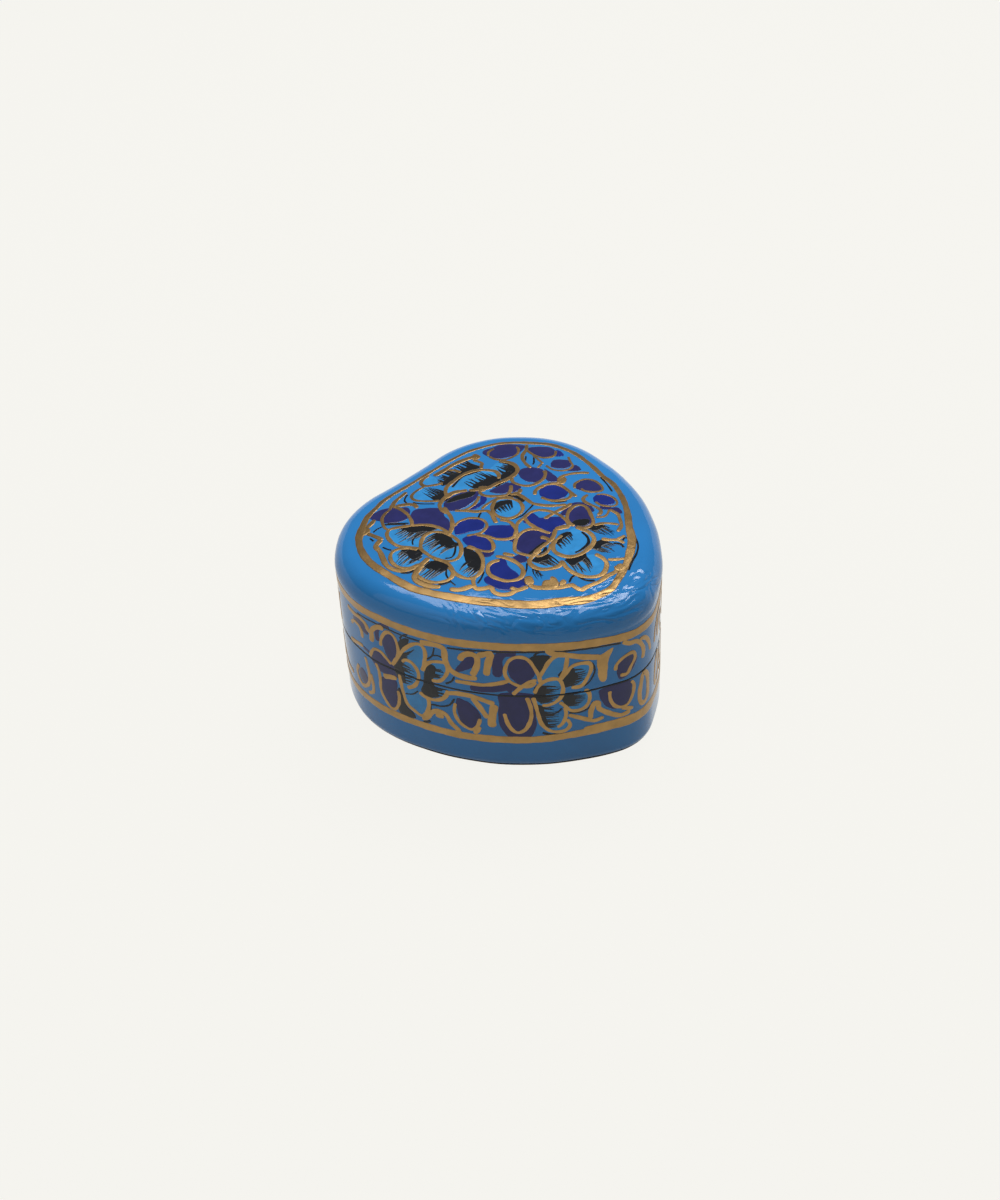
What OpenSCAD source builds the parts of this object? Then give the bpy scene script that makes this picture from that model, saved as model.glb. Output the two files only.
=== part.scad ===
// Small heart-shaped papier mache trinket box with a lift-off lid.
// The lid and the base are each a wall with a board glued across its end. A thin collar is
// glued inside the base and stands proud of the seam, and the lid slides down over it.
// The heart's tip points along -Y, and the origin is at the middle of the underside.

/* [Heart outline] */
// Radius of the two round lobes
lobe_radius = 21.4; // [18:0.2:26]
// Distance between the centres of the two lobes
lobe_spacing = 17.2; // [12:0.2:24]
// Radius of the hollow between the lobes, which is all but flat
hollow_radius = 350; // [20:10:600]
// Radius of the blunt tip
tip_radius = 10.8; // [9:0.2:16]
// Distance from the line of the lobe centres to the centre of the tip
tip_reach = 28.2; // [22:0.2:32]
// Radius of the bulging sides between lobe and tip
side_radius = 44; // [36:1:80]

/* [Heights] */
// Overall height at the middle of the crowned top
box_height = 36.3; // [30:0.1:45]
// Height of the seam between base and lid
seam_height = 19; // [14:0.5:22]
// How far the collar stands above the seam
collar_stand = 5; // [3:0.5:8]
// Rise of the top from its rounded edge to its middle
crown_height = 0.8; // [0.2:0.1:2]

/* [Thicknesses] */
// Thickness of the lid and base walls
wall = 2.2; // [1.6:0.1:3]
// Thickness of the top board
top_thickness = 2.6; // [2:0.1:4]
// Thickness of the floor board
floor_thickness = 1.8; // [1.2:0.1:2.4]
// Thickness of the collar above the seam
collar_wall = 1.2; // [0.8:0.1:2]
// Gap on each side between the collar and the lid wall
lid_play = 0.3; // [0.15:0.05:0.6]

/* [Edges] */
// Radius of the soft edge round the top
shoulder_radius = 3.8; // [3.6:0.1:6]
// How far that edge bulges past the lid wall
shoulder_bulge = 0.15; // [0.05:0.05:0.4]
// Radius of the rounded edge round the bottom
foot_radius = 2.6; // [2.5:0.1:4]
// Rounding left by sanding on the two rims that meet at the seam
rim_chamfer = 0.25; // [0.1:0.05:0.6]
// Rounding on the collar's upper edges
collar_chamfer = 0.3; // [0.1:0.05:0.35]

/* [Hidden] */

lacquer_blue = [0.13, 0.45, 0.78];
painted_black = [0.05, 0.05, 0.06];

// Longest facet along the outline, and facets across each rounded edge
facet_length = 2;
shoulder_steps = 7;
inner_steps = 4;
foot_steps = 4;
// Sizes of the rings that carry the crown, as shares of the ring at the shoulder
crown_shares = [0.86, 0.68, 0.48, 0.26];

lobe_x = lobe_spacing / 2;
// The outline is centred on its own extent, so that the origin is the middle of the underside
outline_shift = (tip_reach + tip_radius - lobe_radius) / 2;

// Centre of the right side's circle, which touches the lobe and the tip from inside
lobe_centre = [lobe_x, 0];
tip_centre = [0, -tip_reach];
corner_gap = norm(tip_centre - lobe_centre);
side_to_lobe = side_radius - lobe_radius;
side_to_tip = side_radius - tip_radius;
side_along = (corner_gap ^ 2 + side_to_lobe ^ 2 - side_to_tip ^ 2) / (2 * corner_gap);
side_across = sqrt(side_to_lobe ^ 2 - side_along ^ 2);
to_tip = (tip_centre - lobe_centre) / corner_gap;
side_centre = lobe_centre + side_along * to_tip + side_across * [to_tip.y, -to_tip.x];

// Centre of the hollow's circle, which touches both lobes from outside
hollow_centre = [0, sqrt((lobe_radius + hollow_radius) ^ 2 - lobe_x ^ 2)];

// Angles at which one arc hands over to the next
tip_end = heading(side_centre, tip_centre);
side_end = heading(side_centre, lobe_centre);
lobe_end = heading(lobe_centre, hollow_centre);
hollow_start = heading(hollow_centre, lobe_centre);

// Heights worked out from the driving ones
edge_height = box_height - crown_height;
shoulder_mid = edge_height - shoulder_radius;
bulge_angle = acos(1 - shoulder_bulge / shoulder_radius);
lid_joint = shoulder_mid - shoulder_radius * sin(bulge_angle);
under_height = edge_height - top_thickness;
under_radius = min(shoulder_radius - shoulder_bulge - wall, under_height - lid_joint);
crown_slope = atan(2 * crown_height / lobe_radius);
foot_joint_angle = asin(1 - floor_thickness / foot_radius);
collar_top = seam_height + collar_stand;

function heading(from, to) = atan2(to.y - from.y, to.x - from.x);

// Points of one arc, leaving out its last, with as many steps as the arc needs at its true size
function arc(centre, radius, from, to, true_radius) =
    let (steps = max(2, ceil(abs(to - from) * PI / 180 * true_radius / facet_length)))
    [for (i = [0 : steps - 1])
        let (a = from + (to - from) * i / steps)
        centre + radius * [cos(a), sin(a)]];

// Right half of the heart from the tip to the hollow, drawn in by an inset
function half_heart(inset) = concat(
    arc(tip_centre, tip_radius - inset, -90, tip_end, tip_radius),
    arc(side_centre, side_radius - inset, tip_end, side_end, side_radius),
    arc(lobe_centre, lobe_radius - inset, side_end, lobe_end, lobe_radius),
    arc(hollow_centre, hollow_radius + inset, hollow_start, -90, hollow_radius));

// The whole heart at one height, counter-clockwise seen from above
function heart_ring(inset, z) =
    let (right = half_heart(inset),
         dip = [0, hollow_centre.y - hollow_radius - inset],
         left = [for (i = [len(right) - 1 : -1 : 1]) [-right[i].x, right[i].y]])
    [for (p = concat(right, [dip], left)) [p.x, p.y + outline_shift, z]];

// One ring for each inset and height in a profile
function profile_rings(profile) = [for (p = profile) heart_ring(p[0], p[1])];

// Insets and heights along a round, from one angle above the horizontal to another
function round_profile(inset, z, radius, from, to, steps) =
    [for (i = [0 : steps])
        let (a = from + (to - from) * i / steps)
        [inset - radius * cos(a), z + radius * sin(a)]];

// Rings drawn in towards the middle that carry the crown up from a ring
function crown_rings(ring) =
    [for (s = crown_shares)
        [for (p = ring) [p.x * s, p.y * s, p.z + crown_height * (1 - s ^ 2)]]];

// Triangles between two rings of n points, the first inside or below the second
function band(n, first, second) =
    [for (i = [0 : n - 1])
        let (j = (i + 1) % n, a = first * n, b = second * n)
        each [[a + i, b + j, a + j], [a + i, b + i, b + j]]];

// Triangles from the ring that starts at a given point to a single point
function fan(n, start, tip, flip) =
    [for (i = [0 : n - 1])
        let (a = start + i, b = start + (i + 1) % n)
        flip ? [tip, b, a] : [tip, a, b]];

// A hollow wall, whose last ring joins its first
module wall_loft(profile) {
    rings = profile_rings(profile);
    count = len(rings);
    polyhedron(
        points = [for (r = rings) each r],
        faces = [for (k = [0 : count - 1]) each band(len(rings[0]), k, (k + 1) % count)],
        convexity = 8);
}

// A board or cap, closed at a middle point under its first ring and another over its last
module board_loft(rings, under_middle, top_middle) {
    n = len(rings[0]);
    count = len(rings);
    polyhedron(
        points = [for (r = rings) each r, under_middle, top_middle],
        faces = concat(
            fan(n, 0, n * count, false),
            [for (k = [0 : count - 2]) each band(n, k, k + 1)],
            fan(n, n * (count - 1), n * count + 1, true)),
        convexity = 8);
}

// Crowned top of the lid: an evenly thick cap whose soft edge bulges a little past the wall
module lid_top() {
    corner = round_profile(wall + under_radius, under_height - under_radius, under_radius,
                           90, 0, inner_steps);
    shoulder = round_profile(shoulder_radius - shoulder_bulge, shoulder_mid, shoulder_radius,
                             -bulge_angle, 90 - crown_slope, shoulder_steps);
    shoulder_rings = profile_rings(shoulder);
    under_rings = crown_rings(heart_ring(wall + under_radius, under_height));
    under_count = len(under_rings);
    color(lacquer_blue)
    board_loft(
        concat(
            [for (k = [under_count - 1 : -1 : 0]) under_rings[k]],
            profile_rings(corner),
            [heart_ring(wall, lid_joint)],
            shoulder_rings,
            crown_rings(shoulder_rings[shoulder_steps])),
        [0, 0, under_height + crown_height],
        [0, 0, box_height]);
}

// Wall of the lid, from the seam up to the top
module lid_wall() {
    color(lacquer_blue)
    wall_loft([
        [wall, lid_joint],
        [wall, seam_height + rim_chamfer],
        [wall - rim_chamfer, seam_height],
        [rim_chamfer, seam_height],
        [0, seam_height + rim_chamfer],
        [0, lid_joint]]);
}

// Wall of the base, standing on the floor board, with its lower edge rounded in
module base_wall() {
    foot = round_profile(foot_radius, foot_radius, foot_radius, -foot_joint_angle, 0, foot_steps);
    color(lacquer_blue)
    wall_loft(concat(
        [[wall, seam_height], [wall, floor_thickness]],
        foot,
        [[0, seam_height - rim_chamfer], [rim_chamfer, seam_height]]));
}

// Floor board glued under the base wall, whose edge carries the rounding on to the table
module base_floor() {
    edge = round_profile(foot_radius, foot_radius, foot_radius, -90, -foot_joint_angle, foot_steps);
    color(painted_black)
    board_loft(profile_rings(edge), [0, 0, 0], [0, 0, floor_thickness]);
}

// Collar glued inside the base wall, pared back above the seam to let the lid slide over it
module collar() {
    pared = wall + lid_play;
    inner = pared + collar_wall;
    color(painted_black)
    wall_loft([
        [inner, collar_top - collar_chamfer],
        [inner, floor_thickness],
        [wall, floor_thickness],
        [wall, seam_height],
        [pared, seam_height],
        [pared, collar_top - collar_chamfer],
        [pared + collar_chamfer, collar_top],
        [inner - collar_chamfer, collar_top]]);
}

lid_top();
lid_wall();
base_wall();
base_floor();
collar();
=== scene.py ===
import bisect
import math
import random

import bmesh
import bpy
from bpy.props import FloatProperty, FloatVectorProperty, PointerProperty
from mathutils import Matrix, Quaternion, Vector


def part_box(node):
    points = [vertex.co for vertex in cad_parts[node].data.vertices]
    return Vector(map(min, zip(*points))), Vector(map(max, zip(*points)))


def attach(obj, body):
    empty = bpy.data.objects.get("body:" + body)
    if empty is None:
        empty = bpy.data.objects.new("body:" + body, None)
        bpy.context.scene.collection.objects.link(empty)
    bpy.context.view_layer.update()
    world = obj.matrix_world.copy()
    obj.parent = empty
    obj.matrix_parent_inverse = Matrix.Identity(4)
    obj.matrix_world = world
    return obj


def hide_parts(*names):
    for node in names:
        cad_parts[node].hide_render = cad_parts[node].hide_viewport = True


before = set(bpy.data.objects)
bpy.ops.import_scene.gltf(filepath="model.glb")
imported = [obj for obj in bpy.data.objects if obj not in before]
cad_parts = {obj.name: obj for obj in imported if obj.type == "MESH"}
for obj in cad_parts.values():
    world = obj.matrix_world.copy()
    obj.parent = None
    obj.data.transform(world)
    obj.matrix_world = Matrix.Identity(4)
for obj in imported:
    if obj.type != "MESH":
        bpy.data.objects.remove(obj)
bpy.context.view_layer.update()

bl_info = {
    "name": "Painted heart box",
    "version": (1, 0, 0),
    "blender": (4, 5, 0),
    "location": "View3D > Sidebar > Painted Box",
    "description": "Lacquered papier mache box with hand-painted flowers and gold lines",
    "category": "Add Mesh",
}

# Sizes of the painting and its surfaces are worked out in millimetres and turned to metres at the end
MM = 0.001

# Faces round the box in each ring of its shell, and the turn above which an edge stays sharp
FACES_ROUND = 288
SHARP_EDGE = math.radians(38)
# Material slots of a shell
LACQUER, BLACK = 0, 1
# The top is almost flat in the middle and falls faster near its edge; its underside is an even bow
TOP_POWER = 4
UNDERSIDE_POWER = 2

# The painting, laid out flat. A line is a width and the points that it runs through, a third
# number on a point is the width there, and a line that ends where it starts is closed. A patch is
# the points round its edge. Feathers are short strokes fanned out from a root towards their tips.
TOP_BORDER = {
    "gold_lines": [
        (1.5, [(-23.4, -0.4, 1.6), (-24.4, 3, 1.6), (-24.5, 10, 1.5), (-24.1, 13.9, 1.5),
               (-22.7, 17.6, 1.3), (-20.7, 20.4, 1.3), (-18.7, 21.9, 1.6), (-16.8, 23.2, 1.2),
               (-14.8, 24.3, 1.1), (-12, 25, 1), (-9.6, 25.6, 0.9), (-6.3, 25.8, 0.9),
               (-2, 25.7, 0.8), (3.5, 25.7, 0.8), (7.9, 25.5, 0.8), (12.2, 25, 0.8),
               (15.5, 23.9, 0.8), (17.9, 22.8, 0.8), (19.6, 21.5, 0.9), (21.6, 19.3, 0.9),
               (23.5, 16.7, 1), (24.8, 14.5, 1), (25.5, 11.5, 1), (25.7, 8.4, 1),
               (25, 4.1, 1), (23.6, -0.4, 1.1), (23, -3.4, 1.1), (21.7, -6.2, 1.1),
               (19.9, -9, 1.1), (17.7, -11.7, 1.2), (14.5, -14.9, 1.4), (11.2, -18.4, 1.6),
               (5.8, -21.7, 1.3), (1.2, -23.6, 1.3), (-2, -24.3, 1.4), (-6.4, -23, 1.8),
               (-9.6, -20.3, 2), (-14, -16.7, 1.9), (-19.5, -8.6, 1.8), (-22.3, -3.2, 1.7),
               (-23.4, -0.4, 1.6)]),
        (0.9, [(-17.4, 21.7), (-16, 22), (-14.8, 22.4)]),
        (0.9, [(-18.6, 20.4), (-18.4, 19), (-18.2, 16.6)]),
        (0.9, [(-5.6, -20.8), (-4.2, -20.9), (-2.8, -21.2), (-1.4, -21.6), (0.8, -21.6),
               (2.6, -21.8), (3.6, -21.4), (4, -20.7)]),
    ],
    "gold_patches": [
        [(-20.2, 21.2), (-19, 22.4), (-17.6, 22.4), (-17.2, 21.2), (-18, 20.3), (-19.2, 20.3)],
    ],
    "black_lines": [
        (0.4, [(14.3, -15.8), (12.7, -18), (11.4, -19.7), (9.5, -21), (7.3, -21.9), (4.7, -23.2)]),
        (0.4, [(23, -0.4), (22.1, -2.7), (20.8, -5.3)]),
    ],
}

TOP_LEFT_FLOWER = {
    "petals": [
        (0.75, [(-9.4, 7.8), (-8.9, 9.5), (-9.1, 11.5), (-10, 13.6), (-11.8, 15.4), (-13.5, 16.8),
                (-15.3, 17.8), (-16.8, 16.9), (-17.7, 14.5), (-17.5, 12.6), (-16.4, 10.7),
                (-15.8, 9.5)]),
        (0.75, [(-15.5, 9.3), (-13.5, 11), (-11.8, 11.4), (-10.4, 10.8), (-9.5, 9.3), (-9.3, 7),
                (-9.8, 5), (-11, 3.3), (-12.5, 2.2), (-14, 2), (-15.4, 3.2), (-16, 5.5),
                (-15.9, 7.6), (-15.5, 9.3)]),
        (0.75, [(-16.2, 9.5), (-17, 11.3), (-18.5, 12.4), (-20, 12.4), (-21.3, 11.2), (-21.9, 9.4),
                (-21.6, 7.8), (-20.5, 6.6), (-18.9, 6.2)]),
        (0.75, [(-17.9, 5.9), (-20, 5.3), (-21.3, 4.3), (-21.5, 2.2), (-20.8, 0.3), (-19.5, -0.8),
                (-18, -1.1), (-16.6, -0.1), (-15.6, 1.9), (-15.7, 4), (-16.2, 5.6)]),
        (0.8, [(-16.2, 1.4), (-16.7, -0.6), (-16.7, -2.3), (-16, -3.8), (-14.4, -4.2),
               (-12.7, -3.6), (-10.9, -2.1), (-9.8, -0.4), (-9.3, 1.6), (-9.6, 3.1)]),
    ],
    "gold_lines": [
        (1.0, [(-18.3, 16.8), (-20.3, 16.2), (-20.9, 14.5), (-21.8, 12.8), (-22.8, 10.8),
               (-22.9, 8.9), (-22.1, 7.3), (-20.7, 6.4), (-18.5, 5.9), (-16.5, 6.2)]),
        (1.1, [(-18.5, 5.7), (-21, 4.9), (-22.4, 3.7), (-22.5, 2), (-22, 0.2), (-21, -1.4)]),
        (0.8, [(-14.9, -4.1), (-16, -4.6), (-16.9, -5.8)]),
    ],
    "black_patches": [
        [(-10.2, 3), (-9.9, 1.5), (-10.4, -0.6), (-11.6, -2.4), (-13, -3.4), (-13.4, -2.2),
         (-13.2, -0.6), (-12.4, 1), (-11.4, 2.2)],
    ],
    "feathers": [
        (9, 0.75, [(-9.8, 11.3), (-10.4, 13), (-11.5, 14.6), (-13, 16)],
            [(-12.6, 11.8), (-15, 13.2), (-15.3, 14.8), (-14.8, 16.3)]),
        (9, 0.75, [(-10.6, 10.2), (-10.1, 8.4), (-10.9, 6), (-10.6, 4.6)],
            [(-13.2, 10.6), (-14.4, 8.6), (-14.3, 6.6), (-13.5, 5)]),
        (8, 0.7, [(-17.6, 11.6), (-16.7, 10), (-16.7, 8.5), (-17.4, 7.6)],
            [(-19.5, 11.3), (-20.4, 9.7), (-20.4, 8.6), (-19.6, 7.8)]),
        (8, 0.7, [(-17.6, 5.2), (-16.5, 4), (-16.3, 2.5), (-16.6, 1.2)],
            [(-19.8, 4.9), (-20.6, 3.6), (-20.4, 2.2), (-19.3, 1.4)]),
        (4, 0.8, [(-12.8, -3.1), (-12.5, -1.8), (-12.2, -0.4)],
            [(-15.2, -3.4), (-15, -2.2), (-14.8, -0.8)]),
    ],
    "black_lines": [
        (0.45, [(-22.7, 7.1), (-21.9, 6), (-20.9, 5.7), (-20, 6)]),
        (0.4, [(-19.7, 15), (-19.6, 14), (-19.3, 13)]),
        (0.35, [(-17.7, 19.7), (-16.5, 19.8), (-15.3, 19.5)]),
        (0.4, [(-19.3, 18.9), (-19.5, 17.6)]),
        (0.35, [(-16.2, 1.8), (-17.8, 0.4), (-18.4, -0.6), (-18.8, -1.8), (-19, -3.2)]),
        (0.35, [(-16.1, -5.8), (-14.5, -5.2), (-12.9, -4.3)]),
        (0.35, [(-15.7, 11.1), (-15, 12), (-13.9, 12.4), (-12.7, 12.5)]),
        (0.4, [(-14.8, 3.7), (-13.8, 3), (-12.4, 3.6), (-10.9, 4.9)]),
        (0.5, [(-20.8, -0.6), (-20, -1.3), (-18.8, -1.7)]),
        (0.35, [(-20, 7.6), (-19.2, 7.9), (-18.4, 7.7), (-18.1, 6.9)]),
    ],
}

TOP_UPPER_LEFT = {
    "navy_patches": [
        [(-14.8, 23.2), (-13.1, 23.8), (-10.9, 23), (-9.8, 21.5), (-8.7, 20.2), (-9.6, 18.7),
         (-10.9, 18), (-12.2, 18.2), (-14, 19.7), (-14.4, 21.5)],
        [(-7.9, 18), (-6.6, 17.1), (-5, 15.2), (-5.3, 14), (-6.1, 12.8), (-6.4, 11.5),
         (-7.9, 9.5), (-8.7, 9.1), (-9, 11), (-10, 13.4), (-11.1, 15.2), (-10.5, 16.7),
         (-9.2, 17.8)],
        [(-4, 14.1), (-2.8, 15.6), (-0.6, 16.1), (1.4, 15.6), (3.6, 14.2), (2.7, 12.9),
         (0.6, 12.1), (-1.8, 12.2), (-3.5, 12.9)],
    ],
    "royal_patches": [
        [(-0.8, 10.9), (1, 10.7), (2.6, 11.4), (3.4, 12.4), (3.5, 11.2), (2.4, 10.2),
         (0.6, 9.9), (-0.8, 10.2)],
        [(-8.2, 7.1), (-6.9, 8.8), (-5, 9), (-3.4, 8.3), (-2.6, 6.8), (-3.2, 5.4),
         (-4.6, 4.8), (-5.6, 5.6), (-6.9, 6.2)],
    ],
    "gold_lines": [
        (0.6, [(-15.3, 17.8), (-15.5, 18.7), (-14.8, 20.2), (-13.7, 21.5), (-12.2, 22.2),
               (-10.9, 22.4), (-9.6, 23.3)]),
        (0.7, [(-9.8, 22.3), (-9.6, 20.8), (-9.8, 19.5), (-10, 18.4), (-10.9, 16.5),
               (-11.8, 15.4)]),
        (0.8, [(-9.8, 22), (-9.5, 23), (-8.3, 23.6), (-6.6, 23.9), (-4.8, 24.2)]),
        (0.9, [(-9.4, 22.3), (-8.5, 21.6), (-7.4, 20.6), (-7, 19.5), (-7.5, 18.6)]),
        (0.8, [(-9.3, 8.1), (-8.7, 8.5), (-7.4, 9.3), (-6.1, 10.6), (-5.2, 11.9), (-4.4, 13.9),
               (-4, 15)]),
        (0.8, [(-4.9, 13), (-4.9, 14.5), (-4, 16), (-2, 16.9), (0, 17), (1.4, 16.5),
               (2.9, 15.5)]),
        (0.6, [(-3.4, 12.6), (-2.3, 11.4), (-0.2, 11.1), (1.8, 11.7), (2.9, 12.4)]),
        (0.8, [(-2.9, 12), (-2, 10.9), (-1.3, 9.6), (-0.5, 8.7)]),
        (0.6, [(-7, 9.2), (-5.4, 9.5), (-3.5, 8.9), (-2.4, 7.5), (-2.2, 6), (-3, 4.6),
               (-4.9, 4), (-6.2, 4.5), (-7.5, 5.4)]),
    ],
    "black_patches": [
        [(-2.6, 15.5), (-0.6, 15.9), (1.4, 15.4), (3.4, 14.2), (2.2, 13.4), (0, 14.2)],
    ],
    "black_lines": [
        (0.45, [(-14.9, 19.8), (-13.6, 18.3), (-12.2, 16.6)]),
        (0.3, [(-14.2, 19.5), (-13, 18), (-11.7, 16.4)]),
        (0.4, [(-5.3, 23.4), (-6.4, 22.9), (-7.2, 22.2), (-7.4, 21.4)]),
        (0.3, [(-6.6, 20.6), (-5.9, 19), (-4.3, 17)]),
        (0.4, [(-2.3, 7.5), (-1.3, 8.1), (-0.7, 8.3)]),
    ],
}

TOP_UPPER_FLOWER = {
    "petals": [
        (0.6, [(-1.2, 22.8), (-3.5, 22.9), (-5.2, 22.4), (-5.8, 21), (-5, 19.3), (-3.8, 17.8),
               (-3, 17)]),
        (0.7, [(2, 25), (0.2, 24.9), (-1, 24.2), (-1.2, 22.8), (-0.2, 21.9), (0.9, 21.2),
               (1.7, 20.9)]),
        (0.8, [(-1, 17.1), (0, 18.5), (1.4, 19.4), (3.5, 19.7), (5.7, 19.9), (7.9, 19.5),
               (9.3, 18.6), (10.3, 17.3), (10.9, 15.8), (10.4, 14.4), (9.5, 13.7)]),
        (0.9, [(3, 15.3), (4.2, 14.2), (6.1, 13), (7.9, 12.8), (10, 12.3), (12.2, 12.2),
               (14, 12.9), (14.9, 14.5), (14.8, 16.3), (14, 17.9)]),
    ],
    "gold_lines": [
        (1.0, [(2.4, 24.1), (5, 23.9), (7.4, 23.9), (10, 23.4), (11.6, 22.8), (12.3, 22)]),
        (0.7, [(5.4, 23.4), (6.2, 22.2), (6.5, 20.8)]),
        (0.7, [(11, 21.9), (11.3, 20.9), (11.3, 19.8), (10.5, 19.3), (9.9, 18.5)]),
        (1.1, [(-1.8, 16.9), (0.4, 17), (2, 16.2)]),
        (0.7, [(9.3, 10.2), (8.4, 9.3), (7.2, 8.7), (6.2, 8.8), (4.8, 10), (3.8, 11.3),
               (3.6, 12.4), (4.1, 13.6)]),
    ],
    "gold_patches": [
        [(11, 22.6), (12.2, 23.4), (13, 23), (12.9, 21.8), (12, 21.4), (11.1, 21.8)],
        [(4.1, 13), (4.3, 14.2), (5.2, 14.6), (6.3, 13.6), (5.6, 12.8)],
    ],
    "navy_patches": [
        [(5.7, 12), (8.4, 11.6), (9.6, 11.4), (9, 10.4), (7.4, 9.2), (6.2, 9.8), (5.6, 10.9)],
        [(8.6, 9.6), (9.8, 10.8), (10.3, 9.8), (10, 8.3), (8.4, 8.2), (7.7, 9)],
    ],
    "feathers": [
        (6, 0.5, [(-3.4, 17.6), (-2.4, 16.9), (-1.2, 16.9), (-0.4, 17.6)],
            [(-3.2, 20.4), (-2.2, 20.8), (-1.2, 20.6), (-0.6, 20)]),
        (8, 0.7, [(1.2, 20.4), (2.8, 20.1), (4.4, 20.1), (5.4, 20.6)],
            [(1.4, 22), (2.6, 22.8), (3.8, 22.9), (5, 22.9)]),
        (8, 0.7, [(6.2, 20.5), (7.8, 20.1), (9.2, 19.8), (10.2, 19.5)],
            [(6.2, 22.6), (7.4, 22.9), (8.8, 22.7), (10.2, 22.1)]),
        (10, 0.7, [(4.4, 14.6), (6.2, 13.9), (8, 13.6), (9.6, 13.8)],
            [(4.4, 16.8), (6, 17.4), (7.8, 17.5), (9.4, 16.8)]),
        (9, 0.7, [(9.8, 13), (11.8, 12.9), (13.6, 13.4), (14.6, 14.6)],
            [(10.8, 14.8), (12, 15.6), (13, 16.2), (13.8, 16.8)]),
    ],
    "black_lines": [
        (0.5, [(1.7, 18.4), (3.2, 18.9), (5.6, 19.4), (7.4, 18.9), (9.4, 18.2)]),
        (0.5, [(7, 12.2), (9, 12), (12.5, 11.8)]),
    ],
}

TOP_RIGHT_BUDS = {
    "navy_patches": [
        [(14.2, 21.7), (15, 22.6), (16.6, 22.1), (18.7, 21.5), (20.7, 18.6), (20.5, 17.6),
         (17.7, 17.1), (15, 18.4), (14.2, 20)],
        [(20.5, 15.9), (21.3, 16.4), (22.4, 15.7), (23.9, 13.7), (23.7, 12.4), (23.4, 11.7),
         (21.6, 11.5), (20.5, 12.5), (20.3, 14)],
        [(19.2, 8.5), (20.4, 9.7), (21.6, 9.5), (22.7, 8.2), (22.6, 7), (21.6, 6.4), (20.2, 6.8)],
        [(20, 6), (21.4, 5.4), (22.6, 5.9), (22.6, 4.6), (22, 4), (20.8, 4.8)],
        [(12.8, 10.8), (13.6, 12), (14.8, 12.2), (16.2, 11.4), (16.9, 9.8), (16.6, 8.2),
         (15, 7.2), (13.4, 7.4), (12.5, 8.8)],
        [(15.4, 6.7), (17.1, 8.3), (17.6, 9.2), (17.3, 6.4), (16.6, 4.7), (15.4, 5.3)],
        [(17, -0.6), (17.4, 0.8), (18.8, 1.5), (20.3, 0.9), (20.8, -0.6), (20.4, -2.4),
         (19.3, -3.4), (18, -2.6)],
        [(15.9, -8.6), (17.3, -9.4), (17.3, -10.4), (16.5, -11.2), (15.9, -10)],
        [(14.9, -7.4), (16, -7.2), (16.6, -8.6), (15.7, -8.8)],
    ],
    "royal_patches": [
        [(22.4, 10.8), (23.9, 12.1), (24.3, 11), (23.5, 9.7)],
        [(10.7, 3.2), (11.5, 4.6), (12.9, 4.9), (14.4, 4.2), (15.1, 2.6), (14.8, 0.9),
         (13.4, 0.2), (11.8, 0.6), (10.8, 1.8)],
        [(15.9, -5.6), (16.6, -4.4), (17.8, -4.1), (18.9, -5.1), (19, -6.8), (18.1, -8),
         (16.9, -7.6), (16.1, -6.7)],
    ],
    "gold_lines": [
        (0.5, [(13.9, 20.6), (14.9, 21.6), (16.6, 21.7)]),
        (0.5, [(13.9, 20.4), (14, 18.8), (15, 17.4), (16.6, 16.8), (18.3, 16.9), (19.5, 17.9),
               (19.9, 18.8)]),
        (0.5, [(21.6, 17.8), (20.4, 16.6), (19.9, 14.5), (20.1, 12.3), (21.2, 11.2),
               (22.6, 11), (23.8, 11.9)]),
        (0.7, [(21.8, 17.8), (20.4, 16.6), (18.5, 15.8), (17.3, 14.6), (16.5, 12.9),
               (16.2, 11.4)]),
        (0.5, [(19.7, 14.2), (19.1, 11.9), (18.8, 10.6)]),
        (0.5, [(17, 10.4), (18.6, 10.8)]),
        (0.5, [(18.7, 9.8), (18.5, 8), (19.3, 6.5), (20.7, 5.7), (22.2, 6), (23, 7.4),
               (23.9, 8.7)]),
        (0.7, [(11.3, 12), (10.4, 10.6), (10.6, 8.7), (11.6, 7.4), (13.4, 6.9), (15.2, 7.1),
               (16.6, 8), (17.1, 8.9)]),
        (0.7, [(12.2, 5.5), (14.4, 5.2), (15.9, 4.1), (17.6, 5), (19.8, 4.4), (21.6, 3.1),
               (22.5, 2)]),
        (0.7, [(10.2, 3.2), (10.6, 1.4), (11.6, 0.1), (13.2, -0.8), (14.6, -0.5), (15.3, 1),
               (15.6, 3.2), (14.8, 4.7), (13.2, 5.6), (11.2, 5.5), (10, 4.6)]),
        (0.5, [(16.7, 0.5), (18, 1.6), (20.2, 1.3), (21.2, -0.3), (20.8, -2.6), (19.7, -3.7),
               (18.2, -2.9), (17.3, -1.4), (17.5, -0.4)]),
        (0.5, [(16, -5.3), (15.8, -6.6), (16.5, -8.1), (17.7, -8.8), (18.8, -8.2),
               (19.4, -6.6), (19, -4.9), (17.9, -3.9)]),
        (0.7, [(15.4, 1), (15, -0.6), (14.8, -1.6)]),
        (0.7, [(16.8, -2.7), (15.3, -2.9), (14.6, -4), (14.7, -6.9), (14.3, -8.2),
               (12.9, -8.7)]),
        (0.5, [(12.2, -8.8), (13.4, -9.7), (14.7, -9.5), (15.8, -8.9)]),
        (0.7, [(15.8, -8.9), (15.9, -10.8), (15, -12.2), (13.6, -13.8), (11.7, -14.5)]),
    ],
    "gold_patches": [
        [(15.7, 3.3), (16.4, 4.5), (17.9, 5), (18.2, 4.1), (17.2, 3.2)],
    ],
    "black_lines": [
        (0.35, [(19.2, 13.5), (18, 12.3), (17.2, 11.9)]),
        (0.3, [(17.3, 13.9), (18.6, 15)]),
        (0.4, [(10.4, 1), (11.4, -0.4), (12.6, -1.2)]),
    ],
}

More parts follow.
